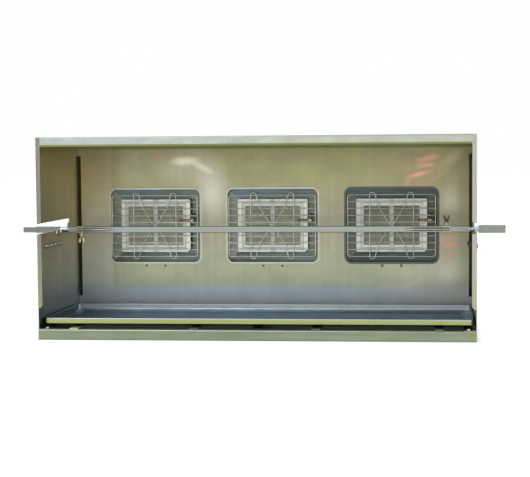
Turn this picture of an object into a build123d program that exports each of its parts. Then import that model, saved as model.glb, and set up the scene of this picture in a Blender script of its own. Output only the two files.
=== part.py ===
"""Gas spit rotisserie: an open steel cabinet with three infrared burners behind a square spit.

Millimetres. X runs along the width, the open front faces -Y, +Z is up, and the origin is the centre
of the base's footprint on the floor. Left and right are as seen from the front.
"""
import os

from build123d import *

os.makedirs("parts", exist_ok=True)

# Cabinet
width = 1250.0
height = 580.0
cavity_depth = 495.0  # from the front plane to the back panel's face
rear_depth = 105.0  # from the back panel's face to the cabinet's back
sheet = 1.5  # wall of the folded panels
bend = 2.5  # outer radius of a fold
touch = 0.3  # gap where one piece lies beside another without being joined
side_flange = 13.0
side_flange_end = 91.0  # height where the side flanges stop to let the tray out
side_flange_nose = 11.0  # rounding of that end
top_flange = 27.0
ledge = 35.0  # bottom fold of the side panels
rear_flange = 20.0

# Base frame of square tube
tube = 30.0
tube_wall = 2.0
tube_corner = 3.0
drain_hole = 6.0
drain_inset = 60.0

# Slot for the spit and its comb plates
slot_lift = 3.0  # from the spit's axis up to the slot's lower edge
slot_tall = 30.0
slot_depth = 370.0  # from the front plane
slot_corner = 5.0
window_tall_below = 15.0  # part of the slot that shows the comb's teeth
window_start = 180.0
comb_sheet = 3.0
comb_start = 85.0
comb_drop = 54.0  # from the spit's axis down to the comb's foot
comb_horn = 18.0  # height of the horn behind the last notch
comb_horn_width = 19.0
comb_corner = 5.0
notch_pitch = 50.0
notch_count = 3
notch_mouth = 22.0
comb_bolt_drop = 37.0  # from the spit's axis down to the bolts
comb_bolt_start = 100.0
comb_bolt_count = 4
comb_bolt = 8.0
bolt_head_height = 3.0
bolt_nut_height = 6.5
bolt_reach_inside = 20.0
bolt_head_inside = 4.4
bolt_reach_outside = 8.0
bolt_slack = 0.4
accessory_hole = 5.5
accessory_pitch = 20.0
accessory_setback = 54.0  # from the front plane
accessory_drop = 94.0  # from the spit's axis down to the middle of the pair

# Spit
spit_depth = 320.0  # from the front plane
spit_height = 300.0
spit_side = 19.0
spit_edge = 1.2  # chamfer along the bar's edges
neck_diameter = 16.0
neck_length = 28.0
neck_start = 612.0  # from the middle of the cabinet
neck_fit = 0.08  # radial gap of the neck in its notch
spit_left_end = 714.0
spit_handle_side = 16.0
spit_handle_length = 40.0
spit_right_end = 719.0
spit_end_edge = 1.0
sleeve_wall = 2.0
sleeve_corner = 1.5
sleeve_fit = 0.05

# Spit forks and their wing screws
fork_left_place = -573.5
fork_right_place = 544.0
hub_length = 25.0
hub_wall = 1.8
hub_slack = 0.2
hub_corner = 2.0
prong_left = 102.0  # from the hub's middle to the tip
prong_right = 123.0
prong_diameter = 9.0
prong_point = 26.0
prong_tip = 1.6
prong_heel = 3.0  # from the hub's rear face
prong_weld = 0.5  # depth of the prong's seat in the hub
boss_diameter = 15.0
boss_height = 7.0
wing_thread = 8.0
wing_fit = 0.05
wing_collar = 13.0
wing_collar_height = 6.0
wing_gap = 1.0  # from the boss to the collar
wing_reach = 41.0  # from the spit's axis to the wing tips
wing_spread = 11.0
wing_tip = 5.0
wing_notch = 8.0  # bottom of the gap between the wings
wing_sheet = 3.2

# Drip tray and its runners
tray_side_gap = 6.0  # from the tray's rim to the side panels
tray_start = 40.0  # from the front plane
tray_depth = 403.0
tray_rim_height = 58.5
tray_band = 15.0
tray_slope = 27.0
tray_sheet = 1.2
tray_hem = 3.0
tray_edge = 1.2
tray_corner = 8.0
runner_width = 26.0
runner_height = 4.0
runner_places = (174.0, 521.0)
runner_seat = 10.0  # length of the runners' rear ends that rests on a rail
foot_bolt_place = 603.0
foot_bolt = 6.0
foot_bolt_depth = 12.0
foot_bolt_head = 4.0
foot_bolt_hexagon = 10.0
foot_bolt_rows = (14.0, 250.0, 470.0)  # from the front plane

# Burners
burner_pitch = 375.0
burner_height = 302.5
rim_width = 298.0
rim_tall = 243.0
rim_land = 6.0
rim_corner = 24.0
rim_edge = 0.8
reflector_sheet = 1.2
reflector_depth = 35.0
opening_slack = 0.8
frame_width = 223.0
frame_tall = 169.0
frame_setback = 5.0  # from the panel's face to the burner frame's face
frame_thickness = 6.0
frame_skirt = 6.0
frame_corner = 5.0
frame_edge = 1.5
frame_band = 14.0
groove_width = 3.0
groove_depth = 2.5
groove_corner = 4.0
corner_cut = 11.0
mullion = 14.0
mullion_setback = 1.0
window_corner = 2.0
plaque_width = 92.0
plaque_tall = 132.0
plaque_thickness = 13.0
plaque_gap = 2.0
plaque_lap_side = 7.0
plaque_lap_top = 5.0
gasket = 2.0
housing_wall = 4.0
housing_margin = 3.5  # from the burner frame's edge to the housing
housing_corner = 4.0
housing_edge = 3.0
pocket_corner = 1.5
plenum_depth = 43.0
plenum_step = 7.0  # ledge behind the plaques' edges
plenum_corner = 8.0
mixing_tube = 28.0
mixing_wall = 2.0
mixing_mouth = 38.0
mixing_flare = 16.0  # height of the flared mouth
mixing_bottom = 142.0
lug_width = 13.0
lug_tall = 22.0
lug_sheet = 3.8
lug_place = 50.0
tab_width = 8.0
tab_drop = 11.0
tab_place = 30.0
tab_screw = 3.6
tab_screw_head = 7.2
tab_screw_head_height = 2.2
tab_screw_reach = 4.0
lug_screw = 4.2
lug_screw_head = 7.6
lug_screw_head_height = 2.4
side_slot = 8.5  # dark slot at each edge of the back panel
side_slot_bottom = 79.0
side_slot_top = 525.0
side_slot_return = 8.0

# Wire guard and its bow-tie clip
wire = 3.0
cross_wire = 2.6
guard_setoff = 15.0  # from the panel's face to the wires' middle plane
guard_width = 273.5
guard_pitch = 21.5
guard_wires = 10
guard_corner = 9.0
guard_leg_pitches = 2  # legs stand this many pitches from the middle
clip_side = 68.0
clip_top = 104.0
clip_crown = 15.0
clip_elbow = (39.0, 56.0)
clip_middle = 3.0
clip_gap = 0.05
clip_corner = 6.5
clip_bend = 30.0
clip_point = 4.0

# Thermocouple
probe_height = 17.0  # above the burner's middle
probe_setoff = 5.0  # from the panel's face towards the front
probe_tip = 82.0
probe_tip_end = 89.0
probe_tip_diameter = 4.5
sleeve_end = 120.0
sleeve_diameter = 7.0
probe_nut = 11.0
probe_nut_length = 5.0
probe_neck = 5.8
probe_lead = 2.5
lead_hole = 6.0
lead_hole_place = (120.0, 35.5)
bracket_height = 20.0
bracket_thickness = 1.5
bracket_nose = 6.0

# Gas train behind the back panel
train_depth = 55.0  # from the back panel's face to the pipe's axis
pipe_height = 70.0
pipe_diameter = 21.3
pipe_wall = 2.6
pipe_left = -400.0
pipe_right = 520.0
outlet_diameter = 20.0
outlet_bore = 10.0
outlet_top = 90.0
tap_height = 105.0
tap_width = 26.0
tap_tall = 30.0
tap_corner = 4.0
tap_nose = 14.0  # from the gas way's axis to the body's front
plug_diameter = 14.0
plug_nose = 10.0
plug_tail = 14.0
tap_wall = 3.0
plug_fit = 0.05
spindle_diameter = 8.0
spindle_flat = 2.2  # from the spindle's axis to its flat
blade_width = 7.6
blade_sheet = 2.4
blade_fit = 0.1
blade_hold = 3.5  # depth of the blade in the plug at rest
plug_port = 5.0
spindle_fit = 0.05
bonnet_diameter = 18.0
bonnet_length = 10.0
push_travel = 4.0
knob_diameter = 42.0
knob_skirt = 6.0
knob_depth = 22.0
knob_grip = 12.0
knob_grip_inset = 3.0
knob_grip_corner = 5.5
knob_skirt_edge = 2.0
knob_grip_edge = 2.5
knob_gap = 5.5  # from the rear cover to the knob
knob_crown = 6.0  # material in front of the spindle's end
magnet_diameter = 14.0
magnet_length = 14.0
lead_nut = 10.0
lead_nut_length = 7.0
injector_hex = 11.0
injector_length = 20.0
injector_hex_length = 11.0
injector_shoulder = 16.0
injector_body = 8.0
injector_nose = 4.4
injector_jet = 1.2
lead_bend_reach = 16.0
lead_bend_back = 16.0
lead_bend_up = 14.0
lead_hole_run = 12.0
lead_drop_end = 190.0
lead_drop_side = 90.0
lead_run_gap = 11.0
bracket_sheet = 3.0
bracket_margin = 16.0
bracket_foot = 24.0
bracket_inset = 2.0
bracket_fit = 0.05
bracket_places = (-190.0, 190.0, 450.0)
inlet_place = 500.0
inlet_thread = 20.955
inlet_bore = 14.0
inlet_hex = 30.0
inlet_length = 18.0
inlet_branch = 20.0
inlet_hex_gap = 4.0
inlet_flange = 6.0
inlet_edge = 1.2
inlet_slack = 0.2

# Rear cover
cover_screw = 5.0
cover_head = 9.5
cover_head_height = 3.0
cover_head_edge = 1.4
cover_screw_reach = 8.0
cover_screw_columns = (-560.0, -190.0, 190.0, 560.0)
cover_screw_drop = 12.0
cover_screw_inset = 11.0
cover_side_low = 130.0
cover_side_pitch = 160.0
cover_inset = 1.0
cover_bottom = 4.0
cover_corner = 4.0
vent_length = 70.0
vent_width = 6.0
vent_pitch = 14.0
vent_gap = 22.0
vent_drop = 25.0  # from the burners' middle to the middle of the lower vents
vent_top_drop = 75.0
spindle_hole = 12.0

# Places worked out from the sizes above
depth = cavity_depth + rear_depth
front = -depth / 2
back = depth / 2
panel_y = front + cavity_depth
half = width / 2
wall_in = half - sheet
cover_y = back - sheet
spit_y = front + spit_depth
slot_bottom = spit_height + slot_lift
slot_top = slot_bottom + slot_tall
window_bottom = slot_bottom - window_tall_below
comb_foot = spit_height - comb_drop
comb_bolt_height = spit_height - comb_bolt_drop
guard_y = panel_y - guard_setoff
frame_y = panel_y + frame_setback
plaque_y = frame_y + frame_thickness
dish_y = panel_y + reflector_depth
train_y = panel_y + train_depth
probe_y = panel_y - probe_setoff
burner_places = {"left": -burner_pitch, "centre": 0.0, "right": burner_pitch}
tray_half = wall_in - tray_side_gap
tray_front = front + tray_start
tray_back = tray_front + tray_depth
tray_floor = tube + runner_height
window_width = 2 * plaque_width + plaque_gap - 2 * plaque_lap_side
window_tall = plaque_tall - 2 * plaque_lap_top
housing_width = frame_width - 2 * housing_margin
housing_tall = frame_tall - 2 * housing_margin
pocket_width = 2 * plaque_width + plaque_gap + 2 * gasket
pocket_tall = plaque_tall + 2 * gasket
pocket_y = plaque_y + plaque_thickness + gasket
housing_back = pocket_y + plenum_depth + housing_wall
hub_half = spit_side / 2 + hub_slack + hub_wall
mixing_bore = mixing_tube - 2 * mixing_wall
cover_screw_rows = (tube / 2, height - cover_screw_drop)
cover_screw_places = [(x, z) for x in cover_screw_columns for z in cover_screw_rows]
cover_side_rows = [cover_side_low + index * cover_side_pitch for index in range(3)]
cover_side_places = [(side * (half - cover_screw_inset), z) for side in (-1, 1) for z in cover_side_rows]
tab_height = burner_height - rim_tall / 2 - tab_drop / 2
tab_screw_places = [(x + side * tab_place, tab_height) for x in burner_places.values() for side in (-1, 1)]
lug_reach = housing_width / 2 + lug_width / 2


def save(piece, name):
    """Labels a finished piece and writes it."""
    piece.part.label = name
    export_step(piece.part, f"parts/{name}.step")


def block(x0, x1, y0, y1, z0, z1, mode=Mode.ADD):
    """Rectangular block between two corners."""
    with Locations(((x0 + x1) / 2, (y0 + y1) / 2, (z0 + z1) / 2)):
        Box(x1 - x0, y1 - y0, z1 - z0, mode=mode)


def rod(start, end, radius, mode=Mode.ADD):
    """Round bar between two points."""
    axis = Vector(*end) - Vector(*start)
    with BuildSketch(Plane(origin=start, z_dir=axis)) as profile:
        Circle(radius)
    extrude(profile.sketch, amount=axis.length, mode=mode)


def hexagon(start, end, across_flats, mode=Mode.ADD):
    """Hexagonal bar between two points."""
    axis = Vector(*end) - Vector(*start)
    with BuildSketch(Plane(origin=start, z_dir=axis)) as profile:
        RegularPolygon(across_flats / 2, 6, major_radius=False)
    extrude(profile.sketch, amount=axis.length, mode=mode)


def plate(y0, y1, x, z, size_x, size_z, corner, mode=Mode.ADD):
    """Upright plate with rounded corners, from y0 back to y1."""
    with BuildSketch(Plane.XZ.offset(-y0)) as profile:
        with Locations((x, z)):
            RectangleRounded(size_x, size_z, corner)
    extrude(profile.sketch, amount=y0 - y1, mode=mode)


def folded(plane, points, length):
    """Sheet folded along the outer line through points, run along the plane's normal."""
    with BuildSketch(plane) as profile:
        with BuildLine():
            FilletPolyline(*points, radius=bend)
            offset(amount=sheet, side=Side.LEFT)
        make_face()
    extrude(profile.sketch, amount=length)


def edges_at(part, axis, **place):
    """Straight edges along an axis whose middle has the given coordinates."""
    found = part.edges().filter_by(axis)
    for name, value in place.items():
        found = found.filter_by(lambda edge, n=name, v=value: abs(getattr(edge.center(), n) - v) < 0.05)
    return found


# Base frame: welded square tubes, closed at their ends, with drain holes below
with BuildPart() as base_frame:
    panel_rail_y = panel_y + tube / 2 - runner_seat
    rear_rail_y = cover_y - tube / 2
    front_rail_y = front + tube / 2
    for rail_y in (front_rail_y, rear_rail_y):
        with BuildSketch(Plane.YZ.offset(-half)):
            with Locations((rail_y, tube / 2)):
                RectangleRounded(tube, tube, tube_corner)
        extrude(amount=width)
    with BuildSketch(Plane.YZ.offset(-(half - tube))):
        with Locations((panel_rail_y, tube / 2)):
            RectangleRounded(tube, tube, tube_corner)
    extrude(amount=width - 2 * tube)
    for rail_x in (-(half - tube / 2), 0.0, half - tube / 2):
        with BuildSketch(Plane.XZ.offset(-(front + tube - tube_corner))):
            with Locations((rail_x, tube / 2)):
                RectangleRounded(tube, tube, tube_corner)
        extrude(amount=-(cover_y - front - 2 * tube + 2 * tube_corner))
    bore_low = tube_wall
    bore_high = tube - tube_wall
    bore = tube / 2 - tube_wall
    for rail_y in (front_rail_y, rear_rail_y):
        block(-half + tube_wall, half - tube_wall, rail_y - bore, rail_y + bore, bore_low, bore_high,
              mode=Mode.SUBTRACT)
    for side in (-1, 1):
        block(*sorted((side * tube / 2, side * (half - tube))), panel_rail_y - bore, panel_rail_y + bore,
              bore_low, bore_high, mode=Mode.SUBTRACT)
    for rail_x in (-(half - tube / 2), 0.0, half - tube / 2):
        block(rail_x - bore, rail_x + bore, front + tube, cover_y - tube, bore_low, bore_high,
              mode=Mode.SUBTRACT)
    drains = [(side * (half - tube - drain_inset), y) for side in (-1, 1)
              for y in (front_rail_y, panel_rail_y, rear_rail_y)]
    drains += [(x, front + tube + drain_inset) for x in (-(half - tube / 2), 0.0, half - tube / 2)]
    for x, y in drains:
        rod((x, y, -1), (x, y, tube_wall + 1), drain_hole / 2, mode=Mode.SUBTRACT)
    for side in (-1, 1):
        for row in foot_bolt_rows:
            place = (side * foot_bolt_place, front + row)
            rod((*place, bore_high - 1), (*place, tube + 1), (foot_bolt + bolt_slack) / 2,
                mode=Mode.SUBTRACT)
    for x, z in cover_screw_places:
        if z < tube:
            rod((x, cover_y - tube_wall - 1, z), (x, cover_y + 1, z), (cover_screw + bolt_slack) / 2,
                mode=Mode.SUBTRACT)
save(base_frame, "base_frame")

# Side panels: wall with a front flange, a ledge on the base and a flange for the rear cover
with BuildPart() as side_panel_right:
    outline = [
        (half - side_flange, front),
        (half, front),
        (half, cover_y),
        (half - rear_flange, cover_y),
    ]
    folded(Plane.XY.offset(tube), outline, height - tube)
    block(half - side_flange - 1, half + 1, front - 1, front + bend, tube - 1, side_flange_end,
          mode=Mode.SUBTRACT)
    block(half - ledge, half, front, cover_y - sheet, tube, tube + sheet)
    slot_front = front - 1
    with BuildSketch(Plane.YZ.offset(half - side_flange - 1)):
        slot_back = front + slot_depth
        with Locations(((slot_front + slot_back) / 2, (slot_bottom + slot_top) / 2)):
            Rectangle(slot_back - slot_front, slot_top - slot_bottom)
        with Locations((front + (window_start + slot_depth) / 2, (window_bottom + slot_bottom) / 2)):
            Rectangle(slot_depth - window_start, slot_bottom - window_bottom)
    extrude(amount=side_flange + 2, mode=Mode.SUBTRACT)
    flange_corners = edges_at(side_panel_right, Axis.Y, X=half - side_flange, Y=front + sheet / 2)
    fillet(flange_corners.filter_by(lambda e: abs(e.center().Z - slot_bottom) < 1), slot_corner)
    flange_corners = edges_at(side_panel_right, Axis.Y, X=half - side_flange, Y=front + sheet / 2)
    fillet(flange_corners.filter_by(lambda e: abs(e.center().Z - slot_top) < 1), slot_corner)
    flange_corners = edges_at(side_panel_right, Axis.Y, X=half - side_flange, Y=front + sheet / 2)
    fillet(flange_corners.filter_by(lambda e: abs(e.center().Z - side_flange_end) < 1), side_flange_nose)
    slot_corners = edges_at(side_panel_right, Axis.X, Y=front + slot_depth)
    fillet(slot_corners, slot_corner)
    for index in range(comb_bolt_count):
        y = front + comb_bolt_start + index * notch_pitch
        rod((wall_in - 1, y, comb_bolt_height), (half + 1, y, comb_bolt_height),
            (comb_bolt + bolt_slack) / 2, mode=Mode.SUBTRACT)
    for step in (-0.5, 0.5):
        y = front + accessory_setback
        z = spit_height - accessory_drop + step * accessory_pitch
        rod((wall_in - 1, y, z), (half + 1, y, z), accessory_hole / 2, mode=Mode.SUBTRACT)
    for row in foot_bolt_rows:
        rod((foot_bolt_place, front + row, tube - 1), (foot_bolt_place, front + row, tube + sheet + 1),
            (foot_bolt + bolt_slack) / 2, mode=Mode.SUBTRACT)
    for x, z in cover_side_places:
        if x > 0:
            rod((x, cover_y - sheet - 1, z), (x, cover_y + 1, z), (cover_screw + bolt_slack) / 2,
                mode=Mode.SUBTRACT)
save(side_panel_right, "side_panel_right")

with BuildPart() as side_panel_left:
    mirror(side_panel_right.part, about=Plane.YZ)
save(side_panel_left, "side_panel_left")

# Top panel: front flange between the side flanges, short rear flange for the cover
with BuildPart() as top_panel:
    outline = [
        (front, height - top_flange),
        (front, height),
        (cover_y, height),
        (cover_y, height - rear_flange),
    ]
    folded(Plane.YZ.offset(-(half - side_flange)), [(y, z) for y, z in reversed(outline)],
           2 * (half - side_flange))
    for side in (-1, 1):
        block(*sorted((side * (half - side_flange), side * (half - bend))), front + sheet,
              cover_y - sheet, height - sheet, height)
        block(*sorted((side * (half - side_flange), side * wall_in)), front + bend, cover_y - bend,
              height - sheet, height)
        block(*sorted((side * (half - rear_flange), side * half)), cover_y - bend, cover_y,
              height - rear_flange - 1, height - sheet, mode=Mode.SUBTRACT)
        block(*sorted((side * (half - rear_flange), side * half)), cover_y - sheet, cover_y + 1,
              height - bend, height + 1, mode=Mode.SUBTRACT)
    for x, z in cover_screw_places:
        if z > tube:
            rod((x, cover_y - sheet - 1, z), (x, cover_y + 1, z), (cover_screw + bolt_slack) / 2,
                mode=Mode.SUBTRACT)
save(top_panel, "top_panel")

# Back panel: three rounded burner openings and a slot at each edge with a small return
with BuildPart() as back_panel:
    block(-wall_in, wall_in, panel_y, panel_y + sheet, tube + sheet, height - sheet)
    block(-(half - ledge) + touch, half - ledge - touch, panel_y, panel_y + sheet, tube, tube + sheet)
    block(-(half - ledge) + touch, half - ledge - touch, panel_y + sheet, panel_y + rear_flange,
          tube, tube + sheet)
    opening_width = rim_width - 2 * rim_land + 2 * reflector_sheet + 2 * opening_slack
    opening_tall = rim_tall - 2 * rim_land + 2 * reflector_sheet + 2 * opening_slack
    for x in burner_places.values():
        plate(panel_y - 1, panel_y + sheet + 1, x, burner_height, opening_width, opening_tall,
              rim_corner - rim_land + reflector_sheet + opening_slack, mode=Mode.SUBTRACT)
    for x, z in tab_screw_places:
        rod((x, panel_y - 1, z), (x, panel_y + sheet + 1, z), (tab_screw + bolt_slack) / 2,
            mode=Mode.SUBTRACT)
    for side in (-1, 1):
        block(*sorted((side * (wall_in - side_slot), side * (wall_in + 1))), panel_y - 1,
              panel_y + sheet + 1, side_slot_bottom, side_slot_top, mode=Mode.SUBTRACT)
        block(*sorted((side * (wall_in - side_slot), side * (wall_in - side_slot - sheet))), panel_y,
              panel_y + side_slot_return, side_slot_bottom, side_slot_top)
save(back_panel, "back_panel")

# Comb plates outside the side panels: the spit's necks drop into their notches
with BuildPart() as spit_support_right:
    comb_back = front + slot_depth + comb_horn_width / 2
    comb_front = front + comb_start
    horn_y = comb_back - comb_horn_width
    with BuildSketch(Plane.YZ.offset(half)):
        with BuildLine():
            Polyline(
                (comb_front, comb_foot),
                (comb_back, comb_foot),
                (comb_back, slot_bottom + comb_horn),
                (horn_y, slot_bottom + comb_horn),
                (horn_y, slot_bottom),
                (comb_front, slot_bottom),
                close=True,
            )
        make_face()
        for index in range(notch_count):
            y = spit_y - index * notch_pitch
            with Locations((y, spit_height)):
                Circle(neck_diameter / 2 + neck_fit, mode=Mode.SUBTRACT)
            with BuildLine():
                seat = neck_diameter / 2 + neck_fit
                Polyline(
                    (y - seat, spit_height),
                    (y + seat, spit_height),
                    (y + notch_mouth / 2, slot_bottom),
                    (y + notch_mouth / 2, slot_bottom + 1),
                    (y - notch_mouth / 2, slot_bottom + 1),
                    (y - notch_mouth / 2, slot_bottom),
                    close=True,
                )
            make_face(mode=Mode.SUBTRACT)
    extrude(amount=comb_sheet)
    fillet(edges_at(spit_support_right, Axis.X, Y=comb_front), comb_corner)
    fillet(edges_at(spit_support_right, Axis.X, Y=comb_back), comb_corner)
    fillet(edges_at(spit_support_right, Axis.X, Y=horn_y, Z=slot_bottom + comb_horn), comb_corner)
    for index in range(comb_bolt_count):
        y = front + comb_bolt_start + index * notch_pitch
        rod((half - 1, y, comb_bolt_height), (half + comb_sheet + 1, y, comb_bolt_height),
            (comb_bolt + bolt_slack) / 2, mode=Mode.SUBTRACT)
save(spit_support_right, "spit_support_right")

with BuildPart() as spit_support_left:
    mirror(spit_support_right.part, about=Plane.YZ)
save(spit_support_left, "spit_support_left")


def comb_bolts(side, head_x, nut_x, tip_x, head_height):
    """Row of bolts through a comb plate, with round heads at one face and hex nuts at the other."""
    inward = 1 if tip_x * side < head_x * side else -1
    with BuildPart() as piece:
        for index in range(comb_bolt_count):
            y = front + comb_bolt_start + index * notch_pitch
            z = comb_bolt_height
            rod((head_x, y, z), (tip_x, y, z), comb_bolt / 2)
            rod((head_x, y, z), (head_x + side * inward * head_height, y, z), comb_bolt * 0.85)
            hexagon((nut_x, y, z), (nut_x - side * inward * bolt_nut_height, y, z), comb_bolt * 1.6)
        rims = piece.edges().filter_by(GeomType.CIRCLE)
        outer = [e for e in rims if abs(e.center().X - (head_x + side * inward * head_height)) < 0.01]
        fillet(outer, head_height * 0.7)
    return piece


# Bolts of the comb plates: long ones with inner nuts at the right, heads inside at the left
comb_face = half + comb_sheet
support_bolts_right = comb_bolts(1, comb_face, wall_in, wall_in - bolt_reach_inside, bolt_head_height)
save(support_bolts_right, "support_bolts_right")
support_bolts_left = comb_bolts(-1, -wall_in, -comb_face, -comb_face - bolt_reach_outside, bolt_head_inside)
save(support_bolts_left, "support_bolts_left")

# Runner strips on the base, on which the tray slides
with BuildPart() as tray_runners:
    for place in runner_places:
        for side in (-1, 1):
            block(side * place - runner_width / 2, side * place + runner_width / 2, front, panel_y,
                  tube, tray_floor)
save(tray_runners, "tray_runners")


def tray_form(inset, floor, top, mode):
    """Block with a sloping skirt below an upright band, drawn in by the sheet's thickness."""
    knee = tray_rim_height - tray_band + floor - tray_floor
    size_x = 2 * (tray_half - inset)
    size_y = tray_depth - 2 * inset
    middle = (tray_front + tray_back) / 2
    corner = tray_corner - inset
    with BuildSketch(Plane.XY.offset(floor)) as bottom:
        with Locations((0, middle)):
            RectangleRounded(size_x - 2 * tray_slope, size_y - 2 * tray_slope, corner)
    with BuildSketch(Plane.XY.offset(knee)) as band:
        with Locations((0, middle)):
            RectangleRounded(size_x, size_y, corner)
    loft([bottom.sketch, band.sketch], ruled=True, mode=mode)
    extrude(band.sketch, amount=top - knee, mode=mode)


# Drip tray: shallow dish with a sloping skirt and a hemmed rim
with BuildPart() as drip_tray:
    tray_form(0.0, tray_floor, tray_rim_height, Mode.ADD)
    tray_form(tray_sheet, tray_floor + tray_sheet, tray_rim_height + 1, Mode.SUBTRACT)
    with BuildSketch(Plane.XY.offset(tray_rim_height - tray_hem)):
        with Locations((0, (tray_front + tray_back) / 2)):
            RectangleRounded(2 * tray_half, tray_depth, tray_corner)
            RectangleRounded(2 * (tray_half - tray_hem), tray_depth - 2 * tray_hem,
                             tray_corner - tray_hem, mode=Mode.SUBTRACT)
    extrude(amount=tray_hem)
    fillet(drip_tray.faces().sort_by(Axis.Z)[-1].edges(), tray_edge)
save(drip_tray, "drip_tray")

# Bolts that hold the side panels' ledges to the base
with BuildPart() as base_bolts:
    for side in (-1, 1):
        for row in foot_bolt_rows:
            place = (side * foot_bolt_place, front + row)
            rod((*place, tube - foot_bolt_depth), (*place, tube + sheet), foot_bolt / 2)
            hexagon((*place, tube + sheet), (*place, tube + sheet + foot_bolt_head), foot_bolt_hexagon)
save(base_bolts, "base_bolts")

# Spit: square bar with a round neck at each wall and a slimmer end for the handle
with BuildPart() as spit_bar:
    sleeve_start = neck_start + neck_length
    for start, end, side in (
        (-spit_left_end, -sleeve_start, spit_side),
        (-neck_start, neck_start, spit_side),
    ):
        with BuildSketch(Plane.YZ.offset(start)):
            with Locations((spit_y, spit_height)):
                Rectangle(side, side)
        extrude(amount=end - start)
    chamfer(spit_bar.edges().filter_by(Axis.X), spit_edge)
    rod((-sleeve_start - 1, spit_y, spit_height), (spit_right_end - 1, spit_y, spit_height),
        neck_diameter / 2)
    with BuildSketch(Plane.YZ.offset(-spit_left_end)):
        with Locations((spit_y, spit_height)):
            RectangleRounded(spit_handle_side, spit_handle_side, spit_end_edge)
    extrude(amount=-spit_handle_length)
    chamfer(edges_at(spit_bar, Axis.Y, X=-spit_left_end - spit_handle_length), spit_end_edge)
save(spit_bar, "spit_bar")

# Square sleeve pinned over the spit's turned end, where the drive takes hold
with BuildPart() as spit_drive_sleeve:
    sleeve_side = spit_side + 2 * sleeve_wall
    with BuildSketch(Plane.YZ.offset(sleeve_start)):
        with Locations((spit_y, spit_height)):
            RectangleRounded(sleeve_side, sleeve_side, sleeve_corner)
            Circle(neck_diameter / 2 + sleeve_fit, mode=Mode.SUBTRACT)
    extrude(amount=spit_right_end - sleeve_start)
    chamfer(edges_at(spit_drive_sleeve, Axis.Y, X=spit_right_end), spit_end_edge)
save(spit_drive_sleeve, "spit_drive_sleeve")


def fork(place, reach, screw_side):
    """Fork: square hub with a boss for the wing screw and a prong on its front and its back."""
    heading = 1 if place < 0 else -1
    with BuildPart() as piece:
        with BuildSketch(Plane.YZ.offset(place - hub_length / 2)):
            with Locations((spit_y, spit_height)):
                RectangleRounded(2 * hub_half, 2 * hub_half, hub_corner)
        extrude(amount=hub_length)
        rod((place, spit_y, spit_height + screw_side * (hub_half - 1)),
            (place, spit_y, spit_height + screw_side * (hub_half + boss_height)), boss_diameter / 2)
        for side in (-1, 1):
            y = spit_y + side * (hub_half + prong_diameter / 2 - prong_weld)
            shank_end = place + heading * (reach - prong_point)
            rod((place - heading * (hub_length / 2 - prong_heel), y, spit_height),
                (shank_end, y, spit_height), prong_diameter / 2)
            with BuildSketch(Plane(origin=(shank_end, y, spit_height), z_dir=(heading, 0, 0))):
                Circle(prong_diameter / 2)
            with BuildSketch(Plane(origin=(place + heading * reach, y, spit_height), z_dir=(heading, 0, 0))):
                Circle(prong_tip / 2)
            loft()
        gap = spit_side / 2 + hub_slack
        block(place - hub_length, place + hub_length, spit_y - gap, spit_y + gap, spit_height - gap,
              spit_height + gap, mode=Mode.SUBTRACT)
        rod((place, spit_y, spit_height), (place, spit_y, spit_height + screw_side * wing_reach),
            wing_thread / 2 + wing_fit, mode=Mode.SUBTRACT)
    return piece


def wing_screw(place, screw_side):
    """Wing screw: threaded shank that presses on the bar, collar and two flared wings."""
    start = spit_side / 2
    collar = hub_half + boss_height + wing_gap
    with BuildPart() as piece:
        rod((place, spit_y, spit_height + screw_side * start),
            (place, spit_y, spit_height + screw_side * (collar + 1)), wing_thread / 2)
        rod((place, spit_y, spit_height + screw_side * collar),
            (place, spit_y, spit_height + screw_side * (collar + wing_collar_height)), wing_collar / 2)
        low = spit_height + screw_side * (collar + 1)
        high = spit_height + screw_side * wing_reach
        with BuildSketch(Plane.XZ.offset(-(spit_y - wing_sheet / 2))):
            for side in (-1, 1):
                with BuildLine():
                    Polyline(
                        (place + side, low),
                        (place + side * wing_collar / 2, low),
                        (place + side * wing_spread, high - screw_side * wing_tip),
                        (place + side * (wing_spread - 1), high),
                        (place + side * (wing_spread - wing_tip), high),
                        (place + side, low + screw_side * wing_notch),
                        close=True,
                    )
                make_face()
        extrude(amount=-wing_sheet)
    return piece


# Forks and wing screws: the left screw hangs down and the right one stands up
fork_left = fork(fork_left_place, prong_left, -1)
save(fork_left, "fork_left")
fork_right = fork(fork_right_place, prong_right, 1)
save(fork_right, "fork_right")
wing_screw_left = wing_screw(fork_left_place, -1)
save(wing_screw_left, "wing_screw_left")
wing_screw_right = wing_screw(fork_right_place, 1)
save(wing_screw_right, "wing_screw_right")


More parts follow.
